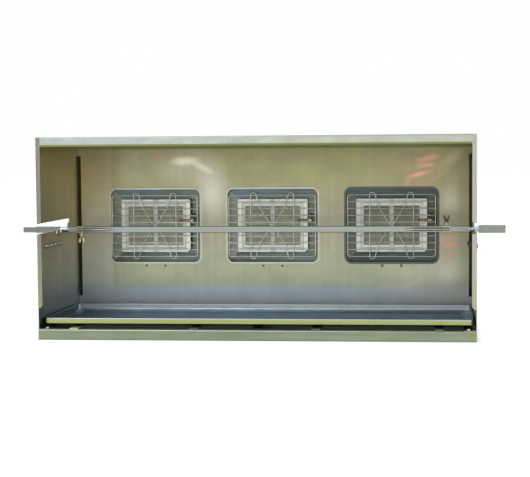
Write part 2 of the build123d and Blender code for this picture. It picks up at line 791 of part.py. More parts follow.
def reflector(x):
    """Dish between the back panel and a burner, with a rim in front of the panel."""
    mouth_width = rim_width - 2 * rim_land
    mouth_tall = rim_tall - 2 * rim_land
    mouth_corner = rim_corner - rim_land
    with BuildPart() as piece:
        plate(panel_y - reflector_sheet, panel_y, x, burner_height, rim_width, rim_tall, rim_corner)
        fillet(piece.faces().sort_by(Axis.Y)[0].edges(), rim_edge)
        plate(panel_y, dish_y + reflector_sheet, x, burner_height, mouth_width + 2 * reflector_sheet,
              mouth_tall + 2 * reflector_sheet, mouth_corner + reflector_sheet)
        plate(panel_y - reflector_sheet - 1, dish_y, x, burner_height, mouth_width, mouth_tall,
              mouth_corner, mode=Mode.SUBTRACT)
        plate(dish_y - 1, dish_y + reflector_sheet + 1, x, burner_height, housing_width + 1,
              housing_tall + 1, frame_corner, mode=Mode.SUBTRACT)
        for side in (-1, 1):
            low = burner_height - rim_tall / 2 - tab_drop
            place = x + side * tab_place
            block(place - tab_width / 2, place + tab_width / 2, panel_y - reflector_sheet, panel_y,
                  low, low + tab_drop + 2)
            rod((place, panel_y - 3, tab_height), (place, panel_y + 1, tab_height),
                (tab_screw + bolt_slack) / 2, mode=Mode.SUBTRACT)
            for step in (-1, 1):
                spot = (x + side * lug_reach, burner_height + step * lug_place)
                rod((spot[0], dish_y - 1, spot[1]), (spot[0], dish_y + 3, spot[1]),
                    (lug_screw + bolt_slack) / 2, mode=Mode.SUBTRACT)
        hole_x = x + lead_hole_place[0]
        hole_z = burner_height + lead_hole_place[1]
        rod((hole_x, dish_y - 1, hole_z), (hole_x, dish_y + 3, hole_z), lead_hole / 2,
            mode=Mode.SUBTRACT)
        probe_z = burner_height + probe_height
        block(x + sleeve_end - bracket_thickness, x + sleeve_end, probe_y - bracket_nose,
              dish_y + reflector_sheet / 2, probe_z - bracket_height / 2, probe_z + bracket_height / 2)
        rod((x + sleeve_end - 3, probe_y, probe_z), (x + sleeve_end + 3, probe_y, probe_z),
            probe_neck / 2 + sleeve_fit, mode=Mode.SUBTRACT)
    return piece


def burner_frame(x):
    """Front frame of a burner: grooved face, mullion between the plaques and one cut corner."""
    with BuildPart() as piece:
        plate(frame_y, plaque_y, x, burner_height, frame_width, frame_tall, frame_corner)
        fillet(piece.faces().sort_by(Axis.Y)[0].edges(), frame_edge)
        groove = frame_width - 2 * frame_band
        groove_tall = frame_tall - 2 * frame_band + 1.0
        with BuildSketch(Plane.XZ.offset(-frame_y)):
            with Locations((x, burner_height)):
                RectangleRounded(groove, groove_tall, groove_corner)
                RectangleRounded(groove - 2 * groove_width, groove_tall - 2 * groove_width,
                                 groove_corner - groove_width / 2, mode=Mode.SUBTRACT)
        extrude(amount=-groove_depth, mode=Mode.SUBTRACT)
        with BuildSketch(Plane.XZ.offset(-frame_y)):
            with Locations((x, burner_height)):
                RectangleRounded(window_width, window_tall, window_corner)
        extrude(amount=-frame_thickness, mode=Mode.SUBTRACT)
        block(x - mullion / 2, x + mullion / 2, frame_y + mullion_setback, plaque_y,
              burner_height - window_tall / 2 - 1, burner_height + window_tall / 2 + 1)
        with BuildSketch(Plane.XZ.offset(-plaque_y)):
            with Locations((x, burner_height)):
                RectangleRounded(frame_width, frame_tall, frame_corner)
                RectangleRounded(housing_width + 2 * touch, housing_tall + 2 * touch, frame_corner - 1,
                                 mode=Mode.SUBTRACT)
        extrude(amount=-frame_skirt)
        right = x + frame_width / 2
        low = burner_height - frame_tall / 2
        with BuildSketch(Plane.XZ.offset(-(frame_y - 1))):
            with BuildLine():
                Polyline((right - corner_cut, low - 1), (right + 1, low - 1),
                         (right + 1, low + corner_cut), close=True)
            make_face()
        extrude(amount=-(frame_thickness + frame_skirt + 2), mode=Mode.SUBTRACT)
    return piece


def burner_housing(x):
    """Cast box behind the plaques, with fixing lugs and a mixing tube that points down."""
    with BuildPart() as piece:
        plate(plaque_y, housing_back, x, burner_height, housing_width, housing_tall, housing_corner)
        fillet(piece.faces().sort_by(Axis.Y)[-1].edges(), housing_edge)
        for side in (-1, 1):
            for step in (-1, 1):
                z = burner_height + step * lug_place
                inner = x + side * (housing_width / 2 - 2)
                outer = x + side * (housing_width / 2 + lug_width)
                block(*sorted((inner, outer)), dish_y + reflector_sheet,
                      dish_y + reflector_sheet + lug_sheet, z - lug_tall / 2, z + lug_tall / 2)
        low = burner_height - housing_tall / 2
        rod((x, train_y, low + housing_wall), (x, train_y, mixing_bottom), mixing_tube / 2)
        with BuildSketch(Plane.XY.offset(mixing_bottom)):
            with Locations((x, train_y)):
                Circle(mixing_mouth / 2)
        with BuildSketch(Plane.XY.offset(mixing_bottom + mixing_flare)):
            with Locations((x, train_y)):
                Circle(mixing_tube / 2)
        loft()
        plate(plaque_y - 1, pocket_y, x, burner_height, pocket_width, pocket_tall, pocket_corner,
              mode=Mode.SUBTRACT)
        plate(pocket_y, pocket_y + plenum_depth, x, burner_height, pocket_width - 2 * plenum_step,
              pocket_tall - 2 * plenum_step, plenum_corner, mode=Mode.SUBTRACT)
        rod((x, train_y, burner_height - pocket_tall / 2 + 2 * plenum_step),
            (x, train_y, mixing_bottom - 1), mixing_bore / 2, mode=Mode.SUBTRACT)
        with BuildSketch(Plane.XY.offset(mixing_bottom - 0.01)):
            with Locations((x, train_y)):
                Circle(mixing_mouth / 2 - mixing_wall)
        with BuildSketch(Plane.XY.offset(mixing_bottom + mixing_flare)):
            with Locations((x, train_y)):
                Circle(mixing_bore / 2)
        loft(mode=Mode.SUBTRACT)
        for side in (-1, 1):
            for step in (-1, 1):
                spot = (x + side * lug_reach, burner_height + step * lug_place)
                rod((spot[0], dish_y, spot[1]), (spot[0], dish_y + 2 * lug_sheet, spot[1]),
                    (lug_screw + bolt_slack) / 2, mode=Mode.SUBTRACT)
    return piece


def plaques(x):
    """Two upright ceramic plaques side by side."""
    with BuildPart() as piece:
        for side in (-1, 1):
            middle = x + side * (plaque_width + plaque_gap) / 2
            block(middle - plaque_width / 2, middle + plaque_width / 2, plaque_y,
                  plaque_y + plaque_thickness, burner_height - plaque_tall / 2,
                  burner_height + plaque_tall / 2)
    return piece


def guard(x):
    """Welded wire guard: a rounded rectangle, cross wires and four legs back to the dish."""
    tall = guard_pitch * (guard_wires - 1)
    with BuildPart() as piece:
        with BuildLine(Plane.XZ.offset(-guard_y)) as path:
            right = x + guard_width / 2
            left = x - guard_width / 2
            top = burner_height + tall / 2
            low = burner_height - tall / 2
            FilletPolyline((x, top), (right, top), (right, low), (left, low), (left, top),
                           radius=(0, guard_corner, guard_corner, guard_corner, guard_corner), close=True)
        with BuildSketch(Plane(origin=(x, guard_y, top), z_dir=(1, 0, 0))):
            Circle(wire / 2)
        sweep(path=path.line)
        for index in range(1, guard_wires - 1):
            z = low + index * guard_pitch
            rod((left, guard_y, z), (right, guard_y, z), cross_wire / 2)
        for side in (-1, 1):
            for step in (-1, 1):
                spot = (x + side * guard_width / 2,
                        burner_height + step * guard_leg_pitches * guard_pitch)
                rod((spot[0], guard_y, spot[1]), (spot[0], dish_y, spot[1]), cross_wire / 2)
    return piece


def guard_clip(x):
    """Bow-tie clip behind the guard: two wire triangles whose points meet in the middle."""
    y = guard_y + wire + clip_gap
    with BuildPart() as piece:
        for side in (-1, 1):
            crown = clip_side - clip_crown
            corners = [
                (clip_side, 0),
                (clip_side, clip_top),
                (crown, clip_top),
                clip_elbow,
                (clip_middle, 0),
                (clip_elbow[0], -clip_elbow[1]),
                (crown, -clip_top),
                (clip_side, -clip_top),
            ]
            points = [(x + side * across, burner_height + up) for across, up in corners]
            with BuildLine(Plane.XZ.offset(-y)) as path:
                FilletPolyline(*points, close=True,
                               radius=(0, clip_corner, clip_corner, clip_bend, clip_point, clip_bend,
                                       clip_corner, clip_corner))
            with BuildSketch(Plane(origin=(points[0][0], y, points[0][1]), z_dir=(0, 0, 1))):
                Circle(wire / 2)
            sweep(path=path.line)
    return piece


def thermocouple(x):
    """Thermocouple: dark tip over the plaque, brass sleeve and the nuts at its bracket."""
    z = burner_height + probe_height
    with BuildPart() as piece:
        rod((x + probe_tip, probe_y, z), (x + probe_tip_end + 1, probe_y, z), probe_tip_diameter / 2)
        fillet(piece.faces().sort_by(Axis.X)[0].edges(), probe_tip_diameter / 2 - 0.3)
        bracket_x = x + sleeve_end - bracket_thickness
        rod((x + probe_tip_end, probe_y, z), (bracket_x, probe_y, z), sleeve_diameter / 2)
        rod((bracket_x - 1, probe_y, z), (x + sleeve_end + 1, probe_y, z), probe_neck / 2)
        hexagon((bracket_x - probe_nut_length, probe_y, z), (bracket_x, probe_y, z), probe_nut)
        hexagon((x + sleeve_end, probe_y, z), (x + sleeve_end + probe_nut_length, probe_y, z), probe_nut)
    return piece


for name, x in burner_places.items():
    save(reflector(x), f"reflector_{name}")
    save(burner_frame(x), f"burner_frame_{name}")
    save(burner_housing(x), f"burner_housing_{name}")
    save(plaques(x), f"ceramic_plaques_{name}")
    save(guard(x), f"burner_guard_{name}")
    save(guard_clip(x), f"guard_clip_{name}")
    save(thermocouple(x), f"thermocouple_{name}")

# Fibre gaskets that hold the plaques in their housings
with BuildPart() as plaque_gaskets:
    for x in burner_places.values():
        plate(plaque_y, pocket_y, x, burner_height, pocket_width, pocket_tall, pocket_corner)
        for side in (-1, 1):
            middle = x + side * (plaque_width + plaque_gap) / 2
            block(middle - plaque_width / 2, middle + plaque_width / 2, plaque_y - 1,
                  plaque_y + plaque_thickness, burner_height - plaque_tall / 2,
                  burner_height + plaque_tall / 2, mode=Mode.SUBTRACT)
            block(middle - plaque_width / 2 + plaque_lap_side, middle + plaque_width / 2 - plaque_lap_side,
                  plaque_y, pocket_y + 1, burner_height - window_tall / 2, burner_height + window_tall / 2,
                  mode=Mode.SUBTRACT)
save(plaque_gaskets, "plaque_gaskets")

# Screws of the reflectors' tabs and of the housings' lugs
with BuildPart() as burner_screws:
    tab_face = panel_y - reflector_sheet
    for x, z in tab_screw_places:
        rod((x, tab_face - tab_screw_head_height, z), (x, tab_face, z), tab_screw_head / 2)
        rod((x, tab_face - 1, z), (x, panel_y + sheet + tab_screw_reach, z), tab_screw / 2)
    for x in burner_places.values():
        for side in (-1, 1):
            for step in (-1, 1):
                spot = (x + side * lug_reach, burner_height + step * lug_place)
                rear = dish_y + reflector_sheet + lug_sheet
                rod((spot[0], dish_y - 1, spot[1]), (spot[0], rear + 1, spot[1]), lug_screw / 2)
                rod((spot[0], rear, spot[1]), (spot[0], rear + lug_screw_head_height, spot[1]),
                    lug_screw_head / 2)
save(burner_screws, "burner_screws")

# Gas manifold: a pipe with an outlet below each tap and a branch to the inlet
with BuildPart() as gas_manifold:
    rod((pipe_left, train_y, pipe_height), (pipe_right, train_y, pipe_height), pipe_diameter / 2)
    for x in burner_places.values():
        rod((x, train_y, pipe_height), (x, train_y, outlet_top), outlet_diameter / 2)
    rod((inlet_place, train_y, pipe_height), (inlet_place, cover_y - inlet_branch, pipe_height),
        pipe_diameter / 2)
    rod((pipe_left + pipe_wall, train_y, pipe_height), (pipe_right - pipe_wall, train_y, pipe_height),
        pipe_diameter / 2 - pipe_wall, mode=Mode.SUBTRACT)
    for x in burner_places.values():
        rod((x, train_y, pipe_height), (x, train_y, outlet_top + 1), outlet_bore / 2,
            mode=Mode.SUBTRACT)
    rod((inlet_place, train_y, pipe_height), (inlet_place, cover_y, pipe_height), inlet_bore / 2,
        mode=Mode.SUBTRACT)
save(gas_manifold, "gas_manifold")

# Brackets that carry the manifold from the rear rail
with BuildPart() as manifold_brackets:
    for x in bracket_places:
        block(x - bracket_sheet / 2, x + bracket_sheet / 2, train_y - bracket_margin,
              cover_y - bracket_inset, tube + bracket_sheet, pipe_height + bracket_margin)
        block(x - bracket_sheet / 2, x + bracket_foot, cover_y - tube + bracket_inset,
              cover_y - bracket_inset, tube, tube + bracket_sheet)
        rod((x - bracket_sheet, train_y, pipe_height), (x + bracket_sheet, train_y, pipe_height),
            pipe_diameter / 2 + bracket_fit, mode=Mode.SUBTRACT)
save(manifold_brackets, "manifold_brackets")

# Inlet fitting: bulkhead nipple with a hexagon inside and a pipe thread outside the cover
with BuildPart() as inlet_fitting:
    inlet_start = cover_y - inlet_branch
    inlet_end = back + inlet_flange + inlet_length
    hexagon((inlet_place, inlet_start, pipe_height), (inlet_place, cover_y - inlet_hex_gap, pipe_height),
            inlet_hex)
    rod((inlet_place, inlet_start + 1, pipe_height), (inlet_place, inlet_end, pipe_height), inlet_thread / 2)
    hexagon((inlet_place, back, pipe_height), (inlet_place, back + inlet_flange, pipe_height), inlet_hex)
    chamfer(inlet_fitting.faces().sort_by(Axis.Y)[-1].edges(), inlet_edge)
    rod((inlet_place, inlet_start - 1, pipe_height), (inlet_place, inlet_end + 1, pipe_height),
        inlet_bore / 2, mode=Mode.SUBTRACT)
save(inlet_fitting, "inlet_fitting")

# Injectors that point up into the mixing tubes
with BuildPart() as injectors:
    injector_bottom = tap_height + tap_tall / 2
    for x in burner_places.values():
        foot = (x, train_y, injector_bottom)
        hexagon(foot, (x, train_y, injector_bottom + injector_hex_length), injector_hex)
        rod(foot, (x, train_y, injector_bottom + injector_shoulder), injector_body / 2)
        rod(foot, (x, train_y, injector_bottom + injector_length), injector_nose / 2)
        rod((x, train_y, injector_bottom - 1), (x, train_y, injector_bottom + injector_length + 1),
            injector_jet / 2, mode=Mode.SUBTRACT)
save(injectors, "injectors")

plug_start = train_y - plug_nose
plug_end = train_y + plug_tail
body_front = train_y - tap_nose
body_back = plug_end + tap_wall
bonnet_end = body_back + bonnet_length
blade_start = plug_end - blade_hold
knob_start = back + knob_gap
knob_end = knob_start + knob_depth


def tap(x):
    """Tap body: brass block over the manifold's outlet, with bonnet, magnet unit and plug bore."""
    with BuildPart() as piece:
        block(x - tap_width / 2, x + tap_width / 2, body_front, body_back,
              tap_height - tap_tall / 2, tap_height + tap_tall / 2)
        fillet(piece.edges().filter_by(Axis.Y), tap_corner)
        rod((x, body_back - 1, tap_height), (x, bonnet_end, tap_height), bonnet_diameter / 2)
        rod((x, body_front + 1, tap_height), (x, body_front - magnet_length, tap_height),
            magnet_diameter / 2)
        rod((x, plug_start - touch, tap_height), (x, plug_end, tap_height),
            plug_diameter / 2 + plug_fit, mode=Mode.SUBTRACT)
        rod((x, plug_end - 1, tap_height), (x, bonnet_end + 1, tap_height),
            spindle_diameter / 2 + spindle_fit, mode=Mode.SUBTRACT)
        rod((x, train_y, tap_height - tap_tall / 2 - 1), (x, train_y, tap_height + tap_tall / 2 + 1),
            plug_port / 2, mode=Mode.SUBTRACT)
    return piece


def tap_plug(x):
    """Plug that turns in the tap's body, with a gas port and a slot for the spindle's blade."""
    with BuildPart() as piece:
        rod((x, plug_start, tap_height), (x, plug_end, tap_height), plug_diameter / 2)
        rod((x - plug_diameter, train_y, tap_height), (x + plug_diameter, train_y, tap_height),
            plug_port / 2, mode=Mode.SUBTRACT)
        block(x - blade_width / 2 - blade_fit, x + blade_width / 2 + blade_fit,
              blade_start - push_travel - touch, plug_end + 1, tap_height - blade_sheet / 2 - blade_fit,
              tap_height + blade_sheet / 2 + blade_fit, mode=Mode.SUBTRACT)
    return piece


def tap_spindle(x):
    """Spindle with a blade in the plug's slot and a flat under the knob."""
    with BuildPart() as piece:
        rod((x, plug_end + push_travel + touch, tap_height), (x, knob_end - knob_crown, tap_height),
            spindle_diameter / 2)
        block(x - blade_width / 2, x + blade_width / 2, blade_start, plug_end + push_travel + 1,
              tap_height - blade_sheet / 2, tap_height + blade_sheet / 2)
        block(x - spindle_diameter, x + spindle_diameter, knob_start, knob_end,
              tap_height + spindle_flat, tap_height + spindle_diameter, mode=Mode.SUBTRACT)
    return piece


def knob(x):
    """Round knob with a grip bar and a D-shaped bore."""
    with BuildPart() as piece:
        rod((x, knob_start, tap_height), (x, knob_start + knob_skirt, tap_height), knob_diameter / 2)
        fillet(piece.faces().sort_by(Axis.Y)[-1].edges(), knob_skirt_edge)
        plate(knob_start + knob_skirt - 1, knob_end, x, tap_height, knob_grip,
              knob_diameter - knob_grip_inset, knob_grip_corner)
        fillet(piece.faces().sort_by(Axis.Y)[-1].edges(), knob_grip_edge)
        rod((x, knob_start - 1, tap_height), (x, knob_end - knob_crown, tap_height),
            spindle_diameter / 2, mode=Mode.SUBTRACT)
        block(x - spindle_diameter / 2, x + spindle_diameter / 2, knob_start, knob_end - knob_crown,
              tap_height + spindle_flat, tap_height + spindle_diameter / 2 + 1)
    return piece


for name, x in burner_places.items():
    save(tap(x), f"tap_body_{name}")
    save(tap_plug(x), f"tap_plug_{name}")
    save(tap_spindle(x), f"tap_spindle_{name}")
    save(knob(x), f"tap_knob_{name}")

# Leads from the thermocouples to the taps, with the nut at each magnet unit
with BuildPart() as thermocouple_leads:
    for x in burner_places.values():
        probe_z = burner_height + probe_height
        hole_x = x + lead_hole_place[0]
        hole_z = burner_height + lead_hole_place[1]
        nut_y = body_front - magnet_length - lead_nut_length
        run_y = nut_y - lead_run_gap
        points = [
            (x + sleeve_end + probe_nut_length, probe_y, probe_z),
            (x + sleeve_end + lead_bend_reach, probe_y, probe_z),
            (x + sleeve_end + lead_bend_up, probe_y + lead_bend_back, probe_z + lead_bend_up),
            (hole_x, dish_y - lead_hole_run, hole_z),
            (hole_x, dish_y + lead_hole_run, hole_z),
            (hole_x, dish_y + lead_hole_run, lead_drop_end),
            (x + lead_drop_side, run_y, tap_height),
            (x, run_y, tap_height),
            (x, nut_y, tap_height),
        ]
        with BuildLine() as path:
            FilletPolyline(*points, radius=(7.5, 7.0, 8.0, 10.0, 30.0, 25.0, 9.5))
        with BuildSketch(Plane(origin=points[0], z_dir=(1, 0, 0))):
            Circle(probe_lead / 2)
        sweep(path=path.line)
        hexagon((x, nut_y, tap_height), (x, nut_y + lead_nut_length, tap_height), lead_nut)
save(thermocouple_leads, "thermocouple_leads")

# Rear cover: flat vented sheet over the gas parts
with BuildPart() as rear_cover:
    block(-half + cover_inset, half - cover_inset, cover_y, back, cover_bottom, height - cover_inset)
    fillet(rear_cover.edges().filter_by(Axis.Y), cover_corner)
    with BuildSketch(Plane.XZ.offset(-cover_y)):
        for x in burner_places.values():
            for middle, rows in ((burner_height - vent_drop, 6), (height - vent_top_drop, 4)):
                with Locations((x, middle)):
                    with GridLocations(vent_length + vent_gap, vent_pitch, 3, rows):
                        SlotOverall(vent_length, vent_width)
            with Locations((x, tap_height)):
                Circle(spindle_hole / 2)
        with Locations((inlet_place, pipe_height)):
            Circle(inlet_thread / 2 + inlet_slack)
        with Locations(*(cover_screw_places + cover_side_places)):
            Circle((cover_screw + bolt_slack) / 2)
    extrude(amount=-sheet, mode=Mode.SUBTRACT)
save(rear_cover, "rear_cover")

# Screws around the rear cover
with BuildPart() as cover_screws:
    for x, z in cover_screw_places + cover_side_places:
        rod((x, cover_y - cover_screw_reach, z), (x, back + 1, z), cover_screw / 2)
        rod((x, back, z), (x, back + cover_head_height, z), cover_head / 2)
    heads = cover_screws.edges().filter_by(GeomType.CIRCLE)
    outer = [e for e in heads if abs(e.center().Y - (back + cover_head_height)) < 0.01]
    fillet(outer, cover_head_edge)
save(cover_screws, "cover_screws")
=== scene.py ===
"""Looks of a gas spit rotisserie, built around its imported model.

Written as a Blender add-on and run as a script: property groups hold the sizes and colours, each
operator finishes or models one group of pieces, and main() runs them in order.
"""
import math

import bmesh
import bpy
from mathutils import Matrix, Vector


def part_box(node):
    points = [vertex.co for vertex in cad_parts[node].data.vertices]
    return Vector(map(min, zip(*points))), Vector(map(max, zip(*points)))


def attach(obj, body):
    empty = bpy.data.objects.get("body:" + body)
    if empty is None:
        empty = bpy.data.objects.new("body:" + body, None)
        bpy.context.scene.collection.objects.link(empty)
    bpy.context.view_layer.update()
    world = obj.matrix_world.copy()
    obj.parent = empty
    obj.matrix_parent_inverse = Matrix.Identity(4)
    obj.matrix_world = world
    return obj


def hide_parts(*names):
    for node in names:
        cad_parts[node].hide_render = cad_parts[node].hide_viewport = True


bl_info = {
    "name": "Gas spit rotisserie",
    "version": (1, 2, 0),
    "blender": (4, 5, 0),
    "location": "3D View > Sidebar > Rotisserie",
    "description": "Finishes the cabinet, burners, spit and gas parts of a spit rotisserie",
    "category": "Object",
}

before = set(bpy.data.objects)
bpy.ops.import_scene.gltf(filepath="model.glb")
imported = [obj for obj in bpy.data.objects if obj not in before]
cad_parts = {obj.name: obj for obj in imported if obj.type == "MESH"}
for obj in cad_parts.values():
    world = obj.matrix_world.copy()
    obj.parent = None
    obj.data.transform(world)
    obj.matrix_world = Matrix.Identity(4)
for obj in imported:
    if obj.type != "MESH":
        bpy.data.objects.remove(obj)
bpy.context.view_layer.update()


def span(node):
    """Lowest corner, highest corner and middle of a CAD node."""
    start, end = (Vector(corner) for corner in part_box(node))
    return start, end, (start + end) / 2


def low(node):
    return span(node)[0]


def high(node):
    return span(node)[1]


def middle(node):
    return span(node)[2]


PLACES = ("left", "centre", "right")
BURNERS = {place: middle(f"burner_frame_{place}") for place in PLACES}
FRONT = low("side_panel_left").y
PANEL_Y = low("back_panel").y
HALF = high("base_frame").x
HEIGHT = high("top_panel").z
TUBE = high("base_frame").z
SPIT_Z = middle("spit_bar").z
SHEET = 0.0015
COMB_PLATE = 0.003
RIGHT, LEFT = (1.0, 0.0, 0.0), (-1.0, 0.0, 0.0)
BACK, AHEAD = (0.0, 1.0, 0.0), (0.0, -1.0, 0.0)
UP, DOWN = (0.0, 0.0, 1.0), (0.0, 0.0, -1.0)
BLACK, WHITE = (0.0, 0.0, 0.0), (1.0, 1.0, 1.0)
PHOTO_WIDTH, PHOTO_HEIGHT = 530, 477
MERGE = 1e-6


# Shader writing

def sign(operation, swapped=False):
    """Method of Wire that adds a Math node for an arithmetic sign."""
    def method(self, other=0.0):
        first, second = (other, self) if swapped else (self, other)
        return self.finish.add("ShaderNodeMath", {"operation": operation}, {0: first, 1: second})
    return method


class Wire:
    """A socket of a finish. Arithmetic on it adds Math nodes."""

    def __init__(self, finish, socket):
        self.finish = finish
        self.socket = socket

    __add__, __radd__ = sign("ADD"), sign("ADD", swapped=True)
    __sub__, __rsub__ = sign("SUBTRACT"), sign("SUBTRACT", swapped=True)
    __mul__, __rmul__ = sign("MULTIPLY"), sign("MULTIPLY", swapped=True)
    __pow__, __abs__ = sign("POWER"), sign("ABSOLUTE")
    __or__, __and__ = sign("MAXIMUM"), sign("MINIMUM")

    def step(self, start, end):
        """Runs smoothly from 0 at start to 1 at end."""
        return self.finish.add("ShaderNodeMapRange", {"interpolation_type": "SMOOTHSTEP"},
                               {"Value": self, "From Min": start, "From Max": end})

    def band(self, start, end, soft):
        """1 between start and end, 0 outside, with soft borders."""
        return self.step(start - soft, start + soft) * self.step(end + soft, end - soft)


class Finish:
    """A material under construction, or another node tree. Its colour so far is kept in base."""

    def __init__(self, name, tree=None):
        if tree is None:
            self.material = bpy.data.materials.new(name)
            self.material.use_nodes = True
            tree = self.material.node_tree
        self.tree = tree
        self.shader = self.find("BSDF_PRINCIPLED", "BACKGROUND")

    def find(self, *types):
        return next(node for node in self.tree.nodes if node.type in types)

    def add(self, kind, settings=None, inputs=None, output=0):
        """Adds a node: its settings first, then the values or links of its sockets."""
        node = self.tree.nodes.new(kind)
        for name, value in (settings or {}).items():
            setattr(node, name, value)
        for key, value in (inputs or {}).items():
            self.feed(node.inputs[key], value)
        return Wire(self, node.outputs[output])

    def feed(self, socket, value):
        if isinstance(value, Wire):
            self.tree.links.new(value.socket, socket)
        elif socket.type == "RGBA" and len(value) == 3:
            socket.default_value = (*value, 1.0)
        else:
            socket.default_value = value

    def set(self, **sockets):
        """Feeds the main shader, whose sockets are named with underscores for spaces."""
        for name, value in sockets.items():
            self.feed(self.shader.inputs[name.replace("_", " ")], value)
        return self

    def place(self, scale=(1, 1, 1), location=(0, 0, 0)):
        """Object coordinates, in metres, moved and stretched."""
        here = self.add("ShaderNodeTexCoord", output="Object")
        return self.add("ShaderNodeMapping",
                        inputs={"Vector": here, "Scale": scale, "Location": location})

    def axes(self):
        """Object coordinates as three numbers."""
        here = self.add("ShaderNodeTexCoord", output="Object")
        node = self.add("ShaderNodeSeparateXYZ", inputs={0: here}).socket.node
        return [Wire(self, node.outputs[index]) for index in range(3)]

    def noise(self, scale, detail=3.0, rough=0.55):
        """Clouds of one scale, or stretched by three scales."""
        stretch, scale = (scale, 1.0) if isinstance(scale, tuple) else ((1, 1, 1), scale)
        return self.add("ShaderNodeTexNoise", inputs={"Vector": self.place(stretch), "Scale": scale,
                                                      "Detail": detail, "Roughness": rough})

    def mix(self, factor, first, second, blend="MIX"):
        settings = {"data_type": "RGBA", "blend_type": blend, "clamp_factor": True}
        return self.add("ShaderNodeMix", settings, {0: factor, 6: first, 7: second}, output=2)

    def over(self, mask, colour, blend="MIX"):
        """Lays a colour over the base colour where the mask says."""
        self.base = self.mix(mask, self.base, colour, blend)

    def glow(self, centre, size):
        """Soft spot, 1 at its centre and 0 at the rim of an ellipsoid, in Object coordinates."""
        here = self.place(tuple(1.0 / value for value in size),
                          tuple(-c / s for c, s in zip(centre, size)))
        distance = self.add("ShaderNodeVectorMath", {"operation": "LENGTH"}, {0: here}, "Value")
        return distance.step(1.0, 0.0)

    def bump(self, height, strength):
        return self.add("ShaderNodeBump", inputs={"Height": height, "Strength": strength,
                                                  "Distance": 0.001})

    def close(self, grain=0.0, **sockets):
        """Sends the base colour to the shader, with streaks over what was mixed in flat."""
        if grain:
            dim, bright = (1 - grain,) * 3, (1 + grain,) * 3
            self.over(1.0, self.mix(self.streak.step(0.3, 0.7), dim, bright), "MULTIPLY")
        return self.set(Base_Color=self.base, **sockets)


def shade(colour, amount):
    return tuple(min(1.0, channel * amount) for channel in colour)


GRAIN = {"X": (3.0, 420.0, 420.0), "Y": (420.0, 3.0, 420.0), "Z": (420.0, 420.0, 3.0)}


def brushed(name, colour, grain, roughness, tint=None, tint_share=0.35, streaks=0.10, bump=0.05):
    """Brushed stainless sheet: fine streaks along the grain, clouds of tint, smudges and stains."""
    finish = Finish(name)
    fine = finish.noise(GRAIN[grain], detail=4.0, rough=0.6)
    broad = finish.noise(tuple(value * 0.12 for value in GRAIN[grain]), detail=2.0)
    clouds = finish.noise(4.5, detail=2.0)
    smudges = finish.noise(26.0, detail=4.0)
    finish.streak = fine * 0.6 + broad * 0.4
    finish.base = finish.mix(finish.streak.step(0.3, 0.7), shade(colour, 1 - streaks),
                             shade(colour, 1 + streaks))
    finish.over(clouds.step(0.35, 0.7) * tint_share, tint or shade(colour, 0.85))
    spots = finish.add("ShaderNodeTexVoronoi", inputs={"Vector": finish.place(), "Scale": 34.0})
    drops = spots.step(0.11, 0.05) * smudges.step(0.5, 0.62)
    finish.over(drops * 0.22, shade(colour, 0.6))
    rough = roughness + (fine - 0.5) * 0.12 + (smudges - 0.5) * 0.14 + drops * 0.12
    return finish.close(Metallic=1.0, Roughness=rough, Normal=finish.bump(fine, bump))


def satin(name, colour, metallic, roughness, grain_scale=300.0, bump=0.05):
    """Plain worked metal or plastic with small uneven tone and a fine surface."""
    finish = Finish(name)
    fine = finish.noise(grain_scale)
    clouds = finish.noise(35.0)
    tone = (fine * 0.4 + clouds * 0.6).step(0.35, 0.65)
    finish.base = finish.mix(tone, shade(colour, 0.88), shade(colour, 1.12))
    return finish.close(Metallic=metallic, Roughness=roughness + (clouds - 0.5) * 0.15,
                        Normal=finish.bump(fine, bump))


def dress(finish, *nodes):
    """Gives CAD nodes a material in their own slots."""
    for node in nodes:
        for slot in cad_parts[node].material_slots:
            slot.material = finish.material


# Mesh writing

def islands(node):
    """Corners and middle of each loose part of a CAD node, read from a merged copy."""
    mesh = bmesh.new()
    mesh.from_mesh(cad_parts[node].data)
    bmesh.ops.remove_doubles(mesh, verts=mesh.verts, dist=1e-5)
    waiting = set(mesh.verts)
    boxes = []
    while waiting:
        reached = [waiting.pop()]
        for vert in reached:
            near = {edge.other_vert(vert) for edge in vert.link_edges} & waiting
            waiting -= near
            reached.extend(near)
        start, end = [Vector(choose(vert.co[axis] for vert in reached) for axis in range(3))
                      for choose in (min, max)]
        boxes.append((start, end, (start + end) / 2))
    mesh.free()
    return sorted(boxes, key=lambda box: tuple(round(value, 4) for value in box[0]))


def standing(foot, axis):
    """Matrix that puts local +Z along an axis, with its origin at foot."""
    return Matrix.Translation(foot) @ Vector(axis).to_track_quat("Z", "Y").to_matrix().to_4x4()


def corners_of(made):
    return [item for item in made if isinstance(item, bmesh.types.BMVert)]


def edges_of(made):
    """Edges among new items that border one face only."""
    return [item for item in made if isinstance(item, bmesh.types.BMEdge) and item.is_boundary]


def open_edges(faces):
    return [edge for edge in {edge for face in faces for edge in face.edges} if edge.is_boundary]


